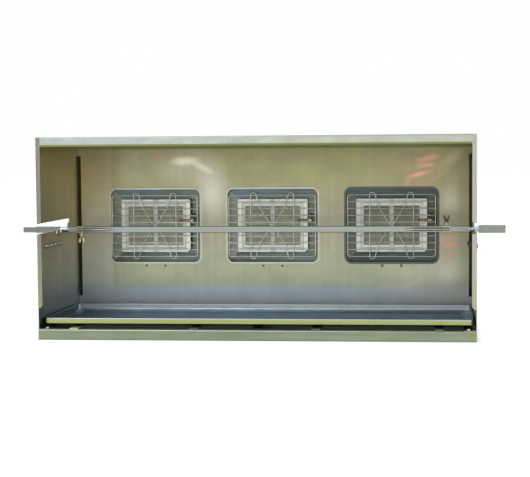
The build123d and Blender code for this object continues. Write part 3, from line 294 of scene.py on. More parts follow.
class Piece:
    """A piece under construction, shaped in metres in the CAD's frame."""

    def __init__(self, name):
        self.name = name
        self.mesh = bmesh.new()
        self.materials = []

    def turn(self, profile, foot, axis, segments=24):
        """Spins a profile of (radius, height) pairs about the axis that starts at foot."""
        place = standing(foot, axis)
        kept = set(self.mesh.verts)
        verts = [self.mesh.verts.new(place @ Vector((radius, 0.0, height)))
                 for radius, height in profile]
        edges = [self.mesh.edges.new(pair) for pair in zip(verts, verts[1:])]
        bmesh.ops.spin(self.mesh, geom=verts + edges, cent=foot, axis=Vector(axis).normalized(),
                       angle=math.tau, steps=segments, use_merge=True)
        made = [vert for vert in self.mesh.verts if vert not in kept]
        bmesh.ops.remove_doubles(self.mesh, verts=made, dist=MERGE)

    def drum(self, radius, start, end, foot, axis, segments=24, bore=0.0):
        """Plain slice between two heights above foot, or a ring if it has a bore."""
        profile = [(bore, start), (radius, start), (radius, end), (bore, end)]
        self.turn(profile + profile[:1] if bore else profile, foot, axis, segments)

    def prism(self, sides, radius, foot, axis, height, edge=0.0):
        """Prism that stands on foot, with bevelled ends."""
        place = standing(foot, axis) @ Matrix.Translation((0.0, 0.0, height / 2))
        made = bmesh.ops.create_cone(self.mesh, cap_ends=True, segments=sides, radius1=radius,
                                     radius2=radius, depth=height, matrix=place)
        if edge:
            self.soften(made["verts"], edge, Vector(axis).normalized())

    def soften(self, verts, width, axis=None, segments=2):
        """Bevels the edges of a shape, or only those of its ends along an axis."""
        faces = {face for vert in verts for face in vert.link_faces}
        for face in faces:
            face.normal_update()
        if axis:
            faces = {face for face in faces if abs(face.normal.dot(axis)) > 0.9}
        edges = list({edge for face in faces for edge in face.edges})
        bmesh.ops.bevel(self.mesh, geom=edges, offset=width, offset_type="OFFSET", affect="EDGES",
                        segments=segments, profile=0.5, material=-1)

    def slab(self, start, end, edge, segments=2):
        """Block between two corners with bevelled edges."""
        start, end = Vector(start), Vector(end)
        place = Matrix.Translation((start + end) / 2) @ Matrix.Diagonal((*(end - start), 1.0))
        made = bmesh.ops.create_cube(self.mesh, size=1.0, matrix=place)
        self.soften(made["verts"], edge, segments=segments)

    def bead(self, place, size):
        """Small rounded lump of weld."""
        spread = Matrix.Translation(place) @ Matrix.Diagonal((*size, 1.0))
        bmesh.ops.create_icosphere(self.mesh, subdivisions=2, radius=1.0, matrix=spread)

    def seam(self, start, end, size, pitch):
        """Row of overlapping weld lumps from start to end."""
        start, end = Vector(start), Vector(end)
        count = max(2, round((end - start).length / pitch))
        for index in range(count + 1):
            sway = 1.0 + 0.12 * math.sin(index * 2.4)
            self.bead(start.lerp(end, index / count), tuple(value * sway for value in size))

    def screw_head(self, foot, axis, radius, height):
        """Pan head grown outwards from a grid of its top, whose middle lines are the recess."""
        place = standing(foot, axis)
        inverse = place.inverted()
        crown = radius * 0.62
        half = crown * 0.70
        grid = bmesh.ops.create_grid(self.mesh, x_segments=5, y_segments=5, size=half,
                                     matrix=place @ Matrix.Translation((0.0, 0.0, height)))["verts"]
        top = {face for vert in grid for face in vert.link_faces}
        rim = open_edges(top)
        for reach, level in ((crown, 1.0), (radius * 0.84, 0.82), (radius * 0.97, 0.45),
                             (radius, 0.12), (radius * 0.96, 0.0)):
            made = bmesh.ops.extrude_edge_only(self.mesh, edges=rim)["geom"]
            for vert in corners_of(made):
                local = inverse @ vert.co
                flat = Vector((local.x, local.y, 0.0)).normalized() * reach
                vert.co = place @ (flat + Vector((0.0, 0.0, height * level)))
            rim = edges_of(made)
        bmesh.ops.edgeloop_fill(self.mesh, edges=rim)
        cross = []
        for face in top:
            x, y, _ = inverse @ face.calc_center_median()
            if min(abs(x), abs(y)) < half * 0.1:
                cross.append(face)
        sunk = corners_of(bmesh.ops.extrude_face_region(self.mesh, geom=cross)["geom"])
        bmesh.ops.delete(self.mesh, geom=[face for face in cross if face.is_valid], context="FACES")
        bmesh.ops.translate(self.mesh, verts=sunk, vec=Vector(axis).normalized() * -height * 0.55)

    def thread(self, foot, axis, radius, length, pitch, segments=16, tip=0.8):
        """Threaded bar, as ridges turned about its axis, whose end is as narrow as tip says."""
        root = radius - pitch * 0.45
        profile = [(0.0, 0.0), (root, 0.0)]
        for index in range(int(length / pitch)):
            profile += [(radius, (index + 0.5) * pitch), (root, (index + 1.0) * pitch)]
        self.turn(profile + [(root * tip, length), (0.0, length)], foot, axis, segments)

    def paint(self, finish):
        """Gives a finish to every face made since the last call."""
        self.materials.append(finish.material)
        for face in self.mesh.faces:
            if face.material_index == 0:
                face.material_index = len(self.materials)

    def finish(self, body, slot, *replaced, limit=40.0):
        """Closes the mesh and makes it an object that rides on a body and stands for nodes."""
        bmesh.ops.remove_doubles(self.mesh, verts=self.mesh.verts, dist=MERGE)
        bmesh.ops.recalc_face_normals(self.mesh, faces=self.mesh.faces)
        for face in self.mesh.faces:
            face.material_index -= 1
            face.smooth = True
        for edge in self.mesh.edges:
            edge.smooth = edge.calc_face_angle(0.0) < math.radians(limit)
        data = bpy.data.meshes.new(self.name)
        self.mesh.to_mesh(data)
        self.mesh.free()
        for material in self.materials:
            data.materials.append(material)
        piece = bpy.data.objects.new(self.name, data)
        bpy.context.scene.collection.objects.link(piece)
        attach(piece, body)
        if replaced:
            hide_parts(*replaced)


# Sizes and colours that a user would change

def pick_colour(name, default):
    return bpy.props.FloatVectorProperty(name=name, description=f"{name} of the finish", size=3,
                                         subtype="COLOR", min=0.0, max=1.0, default=default)


def pick_length(name, default):
    return bpy.props.FloatProperty(name=name, description=f"{name} of the piece", unit="LENGTH",
                                   subtype="DISTANCE", default=default)


class CabinetLooks(bpy.types.PropertyGroup):
    wall: pick_colour("Wall colour", (0.385, 0.325, 0.178))
    # Painted shade with a bluish reflection on the lower part of the walls.
    wall_low_shade: pick_colour("Wall's lower colour", (0.235, 0.31, 0.39))
    # Painted shade: the ceiling is far darker than the top's outer face.
    ceiling: pick_colour("Ceiling colour", (0.20, 0.21, 0.085))
    panel: pick_colour("Back panel colour", (0.44, 0.43, 0.31))
    panel_top: pick_colour("Back panel's upper colour", (0.43, 0.41, 0.225))
    # Painted bluish reflection at the foot of the back panel.
    panel_low: pick_colour("Back panel's lower colour", (0.43, 0.49, 0.56))
    # Painted warm reflections and painted highlights of the back panel.
    panel_warm_reflection: pick_colour("Back panel's warm tint", (0.56, 0.36, 0.24))
    panel_highlight: pick_colour("Back panel's bright tint", (0.80, 0.77, 0.66))
    base: pick_colour("Base colour", (0.28, 0.32, 0.23))
    flange: pick_colour("Side flange colour", (0.45, 0.46, 0.38))
    top_flange: pick_colour("Top flange colour", (0.49, 0.515, 0.435))
    tray: pick_colour("Tray colour", (0.235, 0.27, 0.30))
    tray_back_lit: pick_colour("Tray's rear wall colour", (0.77, 0.82, 0.82))
    tray_lip: pick_colour("Tray's front lip colour", (0.415, 0.475, 0.172))
    roughness: bpy.props.FloatProperty(name="Roughness", subtype="FACTOR", min=0.0, max=1.0,
                                       description="Roughness of the brushed sheet", default=0.34)


class BurnerLooks(bpy.types.PropertyGroup):
    dish: pick_colour("Reflector colour", (0.27, 0.29, 0.23))
    dish_rim: pick_colour("Reflector rim colour", (0.60, 0.61, 0.49))
    edge: pick_colour("Burner frame's edge colour", (0.80, 0.81, 0.70))
    band: pick_colour("Burner frame's band colour", (0.53, 0.54, 0.47))
    ceramic: pick_colour("Plaque colour", (0.61, 0.63, 0.46))
    flame_hole: pick_length("Flame hole width", 0.0017)
    hole_pitch: pick_length("Flame hole pitch", 0.0046)
    hole_depth: pick_length("Flame hole depth", 0.004)
    wire: pick_colour("Wire colour", (0.74, 0.76, 0.74))
    brass: pick_colour("Brass colour", (0.50, 0.30, 0.08))
    tip: pick_length("Flame sensor tip length", 0.007)
    nut: pick_length("Flame sensor nut length", 0.005)
    bracket: pick_length("Flame sensor bracket thickness", 0.0015)


class SpitLooks(bpy.types.PropertyGroup):
    bar: pick_colour("Spit colour", (0.40, 0.43, 0.39))
    fork: pick_colour("Fork colour", (0.44, 0.43, 0.35))
    wing: pick_colour("Wing screw colour", (0.42, 0.40, 0.28))
    hub: pick_length("Fork hub length", 0.025)
    prong: pick_length("Prong width", 0.009)


class GasLooks(bpy.types.PropertyGroup):
    knob: pick_colour("Knob colour", (0.022, 0.022, 0.023))
    pointer: pick_colour("Pointer colour", (0.75, 0.75, 0.73))
    pipe: pick_colour("Pipe paint colour", (0.16, 0.17, 0.17))
    knob_skirt: pick_length("Knob skirt height", 0.006)
    knob_grip: pick_length("Knob grip width", 0.012)
    thread_pitch: pick_length("Inlet thread pitch", 0.0018)


class StageLooks(bpy.types.PropertyGroup):
    eye: bpy.props.FloatVectorProperty(name="Camera place", description="Where the camera stands",
                                       size=3, unit="LENGTH", default=(0.5006, -4.3319, 0.5301))
    turn: bpy.props.FloatVectorProperty(name="Camera turn", description="Yaw, pitch and roll",
                                        size=3, unit="ROTATION",
                                        default=[math.radians(v) for v in (-5.991, -3.771, -0.421)])
    focal: bpy.props.FloatProperty(name="Focal length in pixels", default=1443.3,
                                   description="Of the 530 pixel frame")
    middle: bpy.props.FloatVectorProperty(name="Principal point", size=2, default=(280.8, 248.4),
                                          description="In pixels of the frame")
    world: bpy.props.FloatProperty(name="World strength", description="Light from all around",
                                   default=0.75)
    lamp: bpy.props.FloatProperty(name="Lamp strength", description="Power of the main soft lamp",
                                  unit="POWER", default=60.0)


# Finishes of the cabinet

def front_face(y, front=FRONT):
    """1 on what faces the front of the cabinet, or of the tray."""
    return y.step(front + 0.0022, front + 0.0012)


def outer_side(x, y):
    """1 on the outside of the cabinet's left and right, behind the front face."""
    return abs(x).step(HALF - 0.0009, HALF - 0.0003) * y.step(FRONT + 0.001, FRONT + 0.002)


def wall_steel(looks):
    """Side wall: olive inside with painted light and shade, and a lighter flange in front that
    turns yellowish at its foot.
    """
    finish = brushed("wall_steel", looks.wall, "Z", looks.roughness, tint=shade(looks.wall, 0.72))
    x, y, z = finish.axes()
    # Painted light: a soft lighter band at mid-height of the walls.
    finish.over(finish.glow((0.0, 0.0, 0.36), (2.0, 0.34, 0.22)) * 0.16, shade(looks.wall, 1.5))
    # Painted shade with a bluish reflection: the walls turn darker and bluer towards the bottom.
    finish.over(z.step(0.34, 0.05) * 0.58, shade(looks.wall_low_shade, 0.78))
    # Painted shade just behind the front flange.
    finish.over(y.step(FRONT + 0.07, FRONT + 0.01) * 0.5, shade(looks.wall, 0.4))
    # Painted shade: the left wall's flange is darker than the right one's.
    flange = finish.mix(x.step(-0.5, 0.5), shade(looks.flange, 0.58), looks.flange)
    flange = finish.mix(z.step(0.30, 0.08) * 0.35, flange, shade(looks.tray_lip, 0.9))
    finish.over(front_face(y), flange)
    bolts = middle("support_bolts_left")
    # A soft brown patch on the left wall just above the comb bolts.
    brown_blot = finish.glow((-HALF, bolts.y - 0.01, bolts.z + 0.032), (0.5, 0.055, 0.022))
    finish.over(brown_blot * 0.7, (0.56, 0.42, 0.16))
    finish.over(outer_side(x, y) * 0.9, (0.50, 0.51, 0.49))
    return finish.close(0.07)


def top_steel(looks):
    """Top panel: olive ceiling in painted shade, darker towards the back, and a light silver flange
    in front.
    """
    finish = brushed("top_steel", looks.ceiling, "X", looks.roughness,
                     tint=shade(looks.ceiling, 0.78))
    x, y, z = finish.axes()
    # Painted shade: the ceiling darkens deeper in the cabinet.
    finish.over(y.step(FRONT + 0.05, PANEL_Y - 0.05) * 0.5, shade(looks.ceiling, 0.75))
    finish.over(z.step(HEIGHT - 0.0011, HEIGHT - 0.0004), (0.47, 0.48, 0.46))
    flange = finish.mix(x.step(0.20, -0.50), looks.top_flange, (0.47, 0.52, 0.50))
    smears = finish.noise((16.0, 16.0, 30.0))
    flange = finish.mix(smears.step(0.48, 0.70) * 0.5, flange, (0.60, 0.64, 0.63))
    flange = finish.mix(smears.step(0.44, 0.30) * 0.4, flange, shade(looks.top_flange, 0.82))
    hem = low("top_panel").z
    flange = finish.mix(z.step(hem + 0.0062, hem + 0.0050), flange, shade(looks.tray_lip, 0.56))
    finish.over(front_face(y), flange)
    bend = y.step(FRONT + 0.004, FRONT + 0.003) * z.step(HEIGHT - 0.003, HEIGHT - 0.002)
    finish.over(bend, (0.27, 0.285, 0.27))
    return finish.close(0.07, Specular_Tint=(0.66, 0.67, 0.65))


def base_steel(looks):
    """Base tube: dull green front and a painted highlight as a thin light line along its upper
    edge.
    """
    finish = brushed("base_steel", looks.base, "X", looks.roughness, tint=shade(looks.base, 1.35),
                     tint_share=0.5)
    x, y, z = finish.axes()
    patches = finish.noise((14.0, 14.0, 60.0))
    finish.over(patches.step(0.50, 0.66) * 0.5, shade(looks.tray_lip, 0.64))
    finish.over(patches.step(0.45, 0.30) * 0.5, shade(looks.flange, 0.62))
    ends = abs(x).step(HALF - 0.030, HALF - 0.004) * y.step(FRONT + 0.004, FRONT + 0.002)
    finish.over(ends * 0.6, shade(looks.tray_lip, 0.71))
    finish.over(outer_side(x, y) * 0.9, (0.43, 0.45, 0.42))
    # Painted highlight along the rounded upper edge of the front tube.
    edge = z.step(TUBE - 0.0035, TUBE - 0.0015) * y.step(FRONT + 0.005, FRONT + 0.003)
    finish.over(edge * 0.8, (0.31, 0.36, 0.39))
    return finish.close(0.07)


def tray_steel(looks):
    """Drip tray: dark bluish floor, a rear wall painted bright as painted light, lighter end walls,
    a yellow-green front lip and a painted highlight along its rim.
    """
    finish = brushed("tray_steel", looks.tray, "X", 0.30, tint=shade(looks.tray, 0.8), bump=0.08)
    x, y, z = finish.axes()
    start, end, _ = span("drip_tray")
    # Painted light: the rear wall is painted bright, with painted shade on its left part.
    rear = y.step(end.y - 0.006, end.y - 0.003) * z.step(end.z - 0.017, end.z - 0.014)
    back = finish.mix(x.step(-0.5, 0.1), shade(looks.tray_back_lit, 0.82), looks.tray_back_lit)
    finish.over(rear * 0.95, back)
    lip = front_face(y, start.y)
    finish.over(lip * z.step(end.z - 0.0185, end.z - 0.0155), looks.tray_lip)
    # Painted light on the end walls.
    sides = abs(x).step(end.x - 0.022, end.x - 0.012) * (1 - lip) * (1 - rear)
    finish.over(sides * 0.8, (0.36, 0.41, 0.42))
    # Painted highlight along the top and the hem of the front lip.
    top = z.step(end.z - 0.0022, end.z - 0.0010)
    hem = z.step(end.z - 0.0044, end.z - 0.0032) | top
    finish.over(hem * (lip | top), (0.46, 0.49, 0.50))
    grease = finish.noise(9.0, detail=5.0).step(0.56, 0.66)
    finish.over(grease * 0.30 * z.step(end.z - 0.004, start.z), (0.16, 0.13, 0.08))
    return finish.close(0.07, Specular_Tint=(0.35, 0.43, 0.52))


def cover_steel():
    """Rear cover: grey outside, with a painted glow inside the burner space, a faint emission
    standing in for scattered light.
    """
    finish = brushed("cover_steel", (0.52, 0.53, 0.52), "X", 0.36)
    _, y, _ = finish.axes()
    outer = high("rear_cover").y
    inside = y.step(outer - 0.0005, outer - 0.0010)
    return finish.set(Emission_Color=finish.mix(inside, BLACK, (0.024, 0.024, 0.022)),
                      Emission_Strength=1.0)


def runner_steel():
    """Tray runners painted dark as painted shade, with a pale one at the left."""
    finish = brushed("runner_steel", (0.16, 0.165, 0.15), "Y", 0.36)
    x, _, _ = finish.axes()
    finish.over(x.step(-0.40, -0.45), (0.55, 0.54, 0.34))
    return finish.close()


# Painted highlights and warm reflections of the back panel as soft spots: x and z of the middle,
# half width, half height, share
HIGHLIGHT_SPOTS = (
    (-0.27, 0.49, 0.15, 0.09, 0.42),
    (-0.19, 0.41, 0.075, 0.13, 0.80),
    (0.557, 0.375, 0.05, 0.07, 0.42),
    (0.554, 0.150, 0.06, 0.06, 0.30),
    (0.50, 0.16, 0.20, 0.09, 0.25),
    (-0.45, 0.49, 0.09, 0.12, 0.22),
)
WARM_REFLECTIONS = (
    (-0.345, 0.530, 0.06, 0.04, 0.35),
    (0.460, 0.480, 0.12, 0.10, 0.45),
)
# Blurred reflections: x and z of the middle, half length, half width, slope, share, colour
SHEENS = (
    (-0.277, 0.508, 0.062, 0.020, 3, 0.95, (1.0, 0.93, 0.72)),
    (-0.225, 0.489, 0.060, 0.017, -27, 0.80, (0.95, 0.88, 0.68)),
    (0.487, 0.511, 0.052, 0.014, 14, 0.95, (0.86, 0.50, 0.33)),
    (0.481, 0.490, 0.044, 0.013, 6, 0.90, (0.84, 0.50, 0.33)),
    (0.462, 0.463, 0.052, 0.011, 15, 0.95, (0.84, 0.52, 0.34)),
    (0.424, 0.437, 0.034, 0.014, 66, 0.70, (0.66, 0.44, 0.24)),
    (0.560, 0.510, 0.070, 0.026, 42, 0.70, (0.62, 0.56, 0.32)),
    (0.520, 0.455, 0.070, 0.012, 35, 0.50, (0.60, 0.48, 0.30)),
    (0.553, 0.262, 0.050, 0.020, 8, 0.60, (0.66, 0.42, 0.30)),
    (0.560, 0.241, 0.046, 0.017, -6, 0.85, (0.70, 0.42, 0.30)),
    (0.557, 0.208, 0.026, 0.018, 0, 0.80, (0.66, 0.42, 0.30)),
    (-0.53, 0.400, 0.100, 0.020, 12, 0.30, (0.72, 0.66, 0.52)),
    (0.11, 0.470, 0.160, 0.030, -10, 0.40, (0.48, 0.50, 0.20)),
    (0.24, 0.520, 0.090, 0.024, -24, 0.40, (0.50, 0.50, 0.20)),
    (-0.33, 0.160, 0.150, 0.012, 3, 0.45, (0.48, 0.53, 0.24)),
    (0.00, 0.168, 0.200, 0.014, -2, 0.35, (0.50, 0.53, 0.28)),
    (0.44, 0.120, 0.080, 0.016, 24, 0.35, (0.60, 0.62, 0.58)),
)


def sheen(across, up, size, slope):
    """Ellipse with a soft rim, long along a slope in degrees."""
    turn = math.radians(slope)
    along = across * (math.cos(turn) / size[0]) + up * (math.sin(turn) / size[0])
    over = up * (math.cos(turn) / size[1]) - across * (math.sin(turn) / size[1])
    return ((along * along + over * over) ** 0.5).step(1.0, 0.15)


def panel_steel(looks):
    """Back panel: olive sheet with painted light: soft bright and warm patches and slanted sheens
    as painted highlights and reflections, a lighter left strip, painted shade at the right edge and
    along the top, and a bluish foot of painted reflection.
    """
    finish = brushed("panel_steel", looks.panel, "Z", looks.roughness,
                     tint=shade(looks.panel, 0.88))
    x, _, z = finish.axes()
    finish.over(z.step(0.30, 0.48), looks.panel_top)
    finish.over(z.step(0.28, 0.18) * 0.8, (0.44, 0.47, 0.335))
    straw = finish.noise(3.6, detail=2.0).step(0.47, 0.62) * z.step(0.40, 0.46)
    finish.over(straw * 0.45, (0.47, 0.47, 0.20))
    # Painted light: a lighter strip at the left edge, where the left wall shades the panel.
    strip = finish.mix(z.step(0.18, 0.50), (0.56, 0.58, 0.50), (0.54, 0.485, 0.29))
    finish.over(x.step(-0.511, -0.518) * 0.9, strip)
    # Painted shade near the right edge.
    finish.over(x.step(0.575, 0.605) * 0.35, shade(looks.panel_top, 0.75))
    # Painted highlights and warm reflections as soft patches.
    for tint, spots in ((looks.panel_highlight, HIGHLIGHT_SPOTS), (looks.panel_warm_reflection, WARM_REFLECTIONS)):
        for spot_x, spot_z, width, height, share in spots:
            finish.over(finish.glow((spot_x, PANEL_Y, spot_z), (width, 1.0, height)) * share, tint)
    for spot_x, spot_z, width, height, slope, share, tint in SHEENS:
        finish.over(sheen(x - spot_x, z - spot_z, (width, height), slope) * share, tint)
    # Painted bluish reflection along the foot of the panel.
    foot = finish.mix(x.step(0.30, 0.56), looks.panel_low, (0.50, 0.52, 0.50))
    finish.over(z.step(0.122, 0.094) * 0.9, foot)
    shadow = z.step(0.5435, 0.5480) * (0.55 + x.step(-0.518, -0.511) * 0.40)
    finish.over(shadow, (0.245, 0.262, 0.112))
    straw = finish.noise(7.0, detail=2.0).step(0.45, 0.65)
    for burner in BURNERS.values():
        around = finish.glow((burner.x, PANEL_Y, burner.z), (0.19, 1.0, 0.16))
        finish.over(around * straw * 0.25, (0.52, 0.42, 0.22))
    clouds = finish.noise((14.0, 14.0, 22.0), detail=5.0).step(0.35, 0.65)
    finish.over(1.0, finish.mix(clouds, (0.95, 0.96, 0.97), (1.05, 1.04, 1.03)), "MULTIPLY")
    return finish.close(0.04)


class FinishCabinet(bpy.types.Operator):
    """Brushed steel of the cabinet, its base and its drip tray"""

    bl_idname = "rotisserie.finish_cabinet"
    bl_label = "Finish cabinet"

    def execute(self, context):
        looks = context.scene.cabinet_looks
        dress(wall_steel(looks), "side_panel_left", "side_panel_right")
        dress(top_steel(looks), "top_panel")
        dress(panel_steel(looks), "back_panel")
        dress(base_steel(looks), "base_frame")
        dress(tray_steel(looks), "drip_tray")
        dress(cover_steel(), "rear_cover")
        dress(runner_steel(), "tray_runners")
        dress(brushed("support_steel", (0.34, 0.33, 0.24), "Y", 0.38, bump=0.1),
              "spit_support_left", "spit_support_right")
        return {"FINISHED"}


# Burners

def dish_steel(looks, place):
    """Pressed reflector with painted light: a thin bright rim as a painted highlight, and four
    walls that meet in mitres, each painted lighter or darker by which way it faces; the right
    reflector is painted darker.
    """
    finish = satin(f"dish_steel_{place}", looks.dish, 1.0, 0.30)
    x, y, z = finish.axes()
    centre = BURNERS[place]
    half = high(f"reflector_{place}") - centre
    side, rise = x - centre.x, z - centre.z
    # Painted shade: the right reflector is darker.
    dim, right_dim = (0.5, 0.45) if place == "right" else (1.0, 1.0)
    leftwards = side.step(0.06, -0.10)
    # Painted light and shade: each wall's colour depends on which way it faces.
    above = finish.mix(leftwards, shade((0.125, 0.155, 0.155), dim),
                       shade((0.13, 0.205, 0.26), dim))
    below = finish.mix(leftwards, shade((0.12, 0.16, 0.155), dim),
                       shade((0.095, 0.11, 0.11), dim))
    beside = finish.mix(side.step(0.0, -0.01), shade((0.17, 0.185, 0.15), dim),
                        shade((0.30, 0.32, 0.27), right_dim))
    flat = ((half.x - abs(side)) - (half.z - abs(rise))).step(-0.001, 0.001)
    finish.over(0.85, finish.mix(flat, beside, finish.mix(rise.step(-0.01, 0.01), below, above)))
    streaks = finish.noise((8.0, 8.0, 160.0), detail=2.0)
    finish.over(streaks.step(0.42, 0.62) * 0.18, shade(looks.dish, 1.5 * dim))
    # Painted highlight on the rim.
    finish.over(y.step(PANEL_Y + 0.0012, PANEL_Y + 0.0002), shade(looks.dish_rim, dim * dim))
    tabs = rise.step(-half.z - 0.0005, -half.z - 0.0015)
    finish.over(tabs * 0.8, (0.44, 0.46, 0.34))
    return finish.close()


def frame_steel(looks, place):
    """Burner frame: cream outer edge and a blue-grey band whose sides, top and bottom are painted
    lighter or darker, a groove darkened with painted shade, and a light inner line as a painted
    highlight with a painted shadow band inside it; the right frame is painted darker.
    """
    # Painted shade: the right frame is darker.
    edge = shade(looks.edge, 0.85 if place == "right" else 1.0)
    finish = satin(f"frame_steel_{place}", edge, 0.9, 0.30)
    x, y, z = finish.axes()
    start, end, centre = span(f"burner_frame_{place}")
    half = (end - start) / 2
    across = half.x - abs(x - centre.x)
    along = half.z - abs(z - centre.z)
    inwards = across & along
    upright = (along - across).step(-0.001, 0.001)
    # Painted light and shade: the band's sides, top and bottom differ in tone.
    side = finish.mix(x.step(centre.x - 0.01, centre.x + 0.01), shade(looks.band, 1.15),
                      shade(looks.edge, 0.86))
    flat = finish.mix(z.step(centre.z - 0.01, centre.z + 0.01), (0.52, 0.58, 0.53),
                      (0.50, 0.55, 0.54))
    finish.over((inwards - upright * 0.0025).step(0.0085, 0.0110), finish.mix(upright, flat, side))
    # Painted highlight along the inner line.
    line = inwards.band(0.0168, 0.0212, 0.0006)
    finish.over(line * (1 - upright) * 0.7, (0.74, 0.78, 0.72))
    # Painted shadow inside the inner line.
    finish.over(inwards.step(0.0212, 0.0224) * 0.8, shade(looks.band, 0.75))
    # Painted shade in the groove.
    sunk = y.step(start.y + 0.0012, start.y + 0.0020) * inwards.band(0.0120, 0.0185, 0.0006)
    finish.over(sunk * 0.75, shade(looks.band, 0.8))
    finish.over(abs(x - centre.x).step(0.010, 0.008) * 0.8, shade(looks.edge, 0.62))
    return finish.close()


def weld_guard(place, finish):
    """Weld lumps where the cross wires and the legs meet the guard's frame wire."""
    piece = Piece(f"guard_welds_{place}")
    start, end, _ = span(f"burner_guard_{place}")
    wire, rows = 0.0015, 8
    pitch = (end.z - start.z - 2 * wire) / (rows + 1)
    for row in range(rows):
        height = start.z + wire + (row + 1) * pitch
        for x in (start.x + 2 * wire, end.x - 2 * wire):
            piece.bead((x, start.y + wire, height), (0.0026, 0.0018, 0.0021))
    piece.paint(finish)
    piece.finish("cabinet", "wire_steel")


class FinishBurners(bpy.types.Operator):
    """Reflectors, frames, guards and housings of the burners"""

    bl_idname = "rotisserie.finish_burners"
    bl_label = "Finish burners"

    def execute(self, context):
        looks = context.scene.burner_looks
        wire = satin("wire_steel", looks.wire, 1.0, 0.24)
        iron = satin("iron", (0.10, 0.10, 0.10), 0.7, 0.6, bump=0.3)
        for place in PLACES:
            dress(dish_steel(looks, place), f"reflector_{place}")
            dress(frame_steel(looks, place), f"burner_frame_{place}")
            dress(wire, f"burner_guard_{place}", f"guard_clip_{place}")
            dress(iron, f"burner_housing_{place}")
            weld_guard(place, wire)
        dress(satin("gasket_fibre", (0.66, 0.64, 0.58), 0.0, 0.95, bump=0.4), "plaque_gaskets")
        return {"FINISHED"}


def ceramic(colour, face_y):
    """Fired ceramic: dull olive face with scorched clouds, and painted shade inside the holes."""
    finish = satin("ceramic", colour, 0.0, 0.85, bump=0.3)
    _, y, _ = finish.axes()
    finish.over(finish.noise(18.0).step(0.48, 0.68) * 0.35, shade(colour, 0.6))
    finish.over(y.step(face_y + 0.0004, face_y + 0.0020), shade(colour, 0.12))
    return finish.close()


def plaque(mesh, looks, start, end):
    """Front grid with an eight-sided hole sunk in each cell, then sides and a back."""
    size = end - start
    columns = round(size.x / looks.hole_pitch)
    rows = round(size.z / looks.hole_pitch)
    place = (Matrix.Translation(((start.x + end.x) / 2, start.y, (start.z + end.z) / 2))
             @ Matrix.Rotation(math.pi / 2, 4, "X")
             @ Matrix.Diagonal((size.x / 2, size.z / 2, 1, 1)))
    grid = bmesh.ops.create_grid(mesh, x_segments=columns, y_segments=rows, size=1.0, matrix=place)
    cells = list({face for vert in grid["verts"] for face in vert.link_faces})
    walls = bmesh.ops.extrude_edge_only(mesh, edges=open_edges(cells))["geom"]
    bmesh.ops.translate(mesh, verts=corners_of(walls), vec=(0.0, size.y, 0.0))
    bmesh.ops.edgeloop_fill(mesh, edges=edges_of(walls))
    margin = (size.x / columns - looks.flame_hole) / 2
    bmesh.ops.inset_individual(mesh, faces=cells, thickness=margin, use_even_offset=True)
    corners = list({vert for face in cells for vert in face.verts})
    cut = bmesh.ops.bevel(mesh, geom=corners, offset=looks.flame_hole * 0.3, offset_type="OFFSET",
                          affect="VERTICES", segments=1, profile=0.5, material=-1)
    holes = [face for face in cut["faces"] if len(face.verts) == 8]
    holes = holes or [face for face in mesh.faces if len(face.verts) == 8]
    sunk = bmesh.ops.extrude_discrete_faces(mesh, faces=holes)["faces"]
    floor = list({vert for face in sunk for vert in face.verts})
    bmesh.ops.translate(mesh, verts=floor, vec=(0.0, looks.hole_depth, 0.0))


class MakePlaques(bpy.types.Operator):
    """Ceramic plaques with their flame holes"""

    bl_idname = "rotisserie.make_plaques"
    bl_label = "Make plaques"

    def execute(self, context):
        looks = context.scene.burner_looks
        for place in PLACES:
            node = f"ceramic_plaques_{place}"
            piece = Piece(f"plaques_{place}")
            for start, end, _ in islands(node):
                plaque(piece.mesh, looks, start, end)
            # Painted shade: the right burner's plaques are darker.
            dim = 0.9 if place == "right" else 1.0
            piece.paint(ceramic(shade(looks.ceramic, dim), low(node).y))
            piece.finish("cabinet", "ceramic", node)
        return {"FINISHED"}


class MakeSensors(bpy.types.Operator):
    """Flame sensors: dark tip, brass sleeve and light nuts"""

    bl_idname = "rotisserie.make_sensors"
    bl_label = "Make flame sensors"

    def execute(self, context):
        looks = context.scene.burner_looks
        tip_steel = satin("sensor_tip", (0.10, 0.09, 0.08), 0.8, 0.45)
        brass = satin("brass", looks.brass, 1.0, 0.3)
        nut_steel = satin("nut_steel", (0.60, 0.60, 0.55), 1.0, 0.26)
        tip, sleeve, waist, neck, across = looks.tip, 0.0035, 0.0030, 0.0029, 0.011
        for place in PLACES:
            node = f"thermocouple_{place}"
            start, end, centre = span(node)
            foot = Vector((start.x, centre.y, centre.z))
            bracket_end = end.x - start.x - looks.nut
            sleeve_end = bracket_end - looks.bracket
            piece = Piece(f"sensor_{place}")
            piece.turn([(0.0, 0.0), (0.0012, 0.0002), (0.0020, 0.0010), (0.00225, 0.0025),
                        (0.00225, tip), (0.0, tip)], foot, RIGHT)
            piece.paint(tip_steel)
            piece.turn([(0.0, tip), (0.0026, tip), (sleeve, tip + 0.0012), (sleeve, tip + 0.010),
                        (waist, tip + 0.0105), (waist, tip + 0.0125), (sleeve, tip + 0.013),
                        (sleeve, sleeve_end), (0.0, sleeve_end)], foot, RIGHT)
            piece.drum(neck, sleeve_end, bracket_end, foot, RIGHT)
            piece.paint(brass)
            for nut_start in (sleeve_end - looks.nut, bracket_end):
                piece.prism(6, across / math.sqrt(3), foot + Vector((nut_start, 0.0, 0.0)), RIGHT,
                            looks.nut, edge=0.0006)
            piece.paint(nut_steel)
            piece.finish("cabinet", "brass", node)
            dress(brass, f"tap_body_{place}", f"tap_plug_{place}")
        dress(brass, "injectors")
        return {"FINISHED"}


# Spit

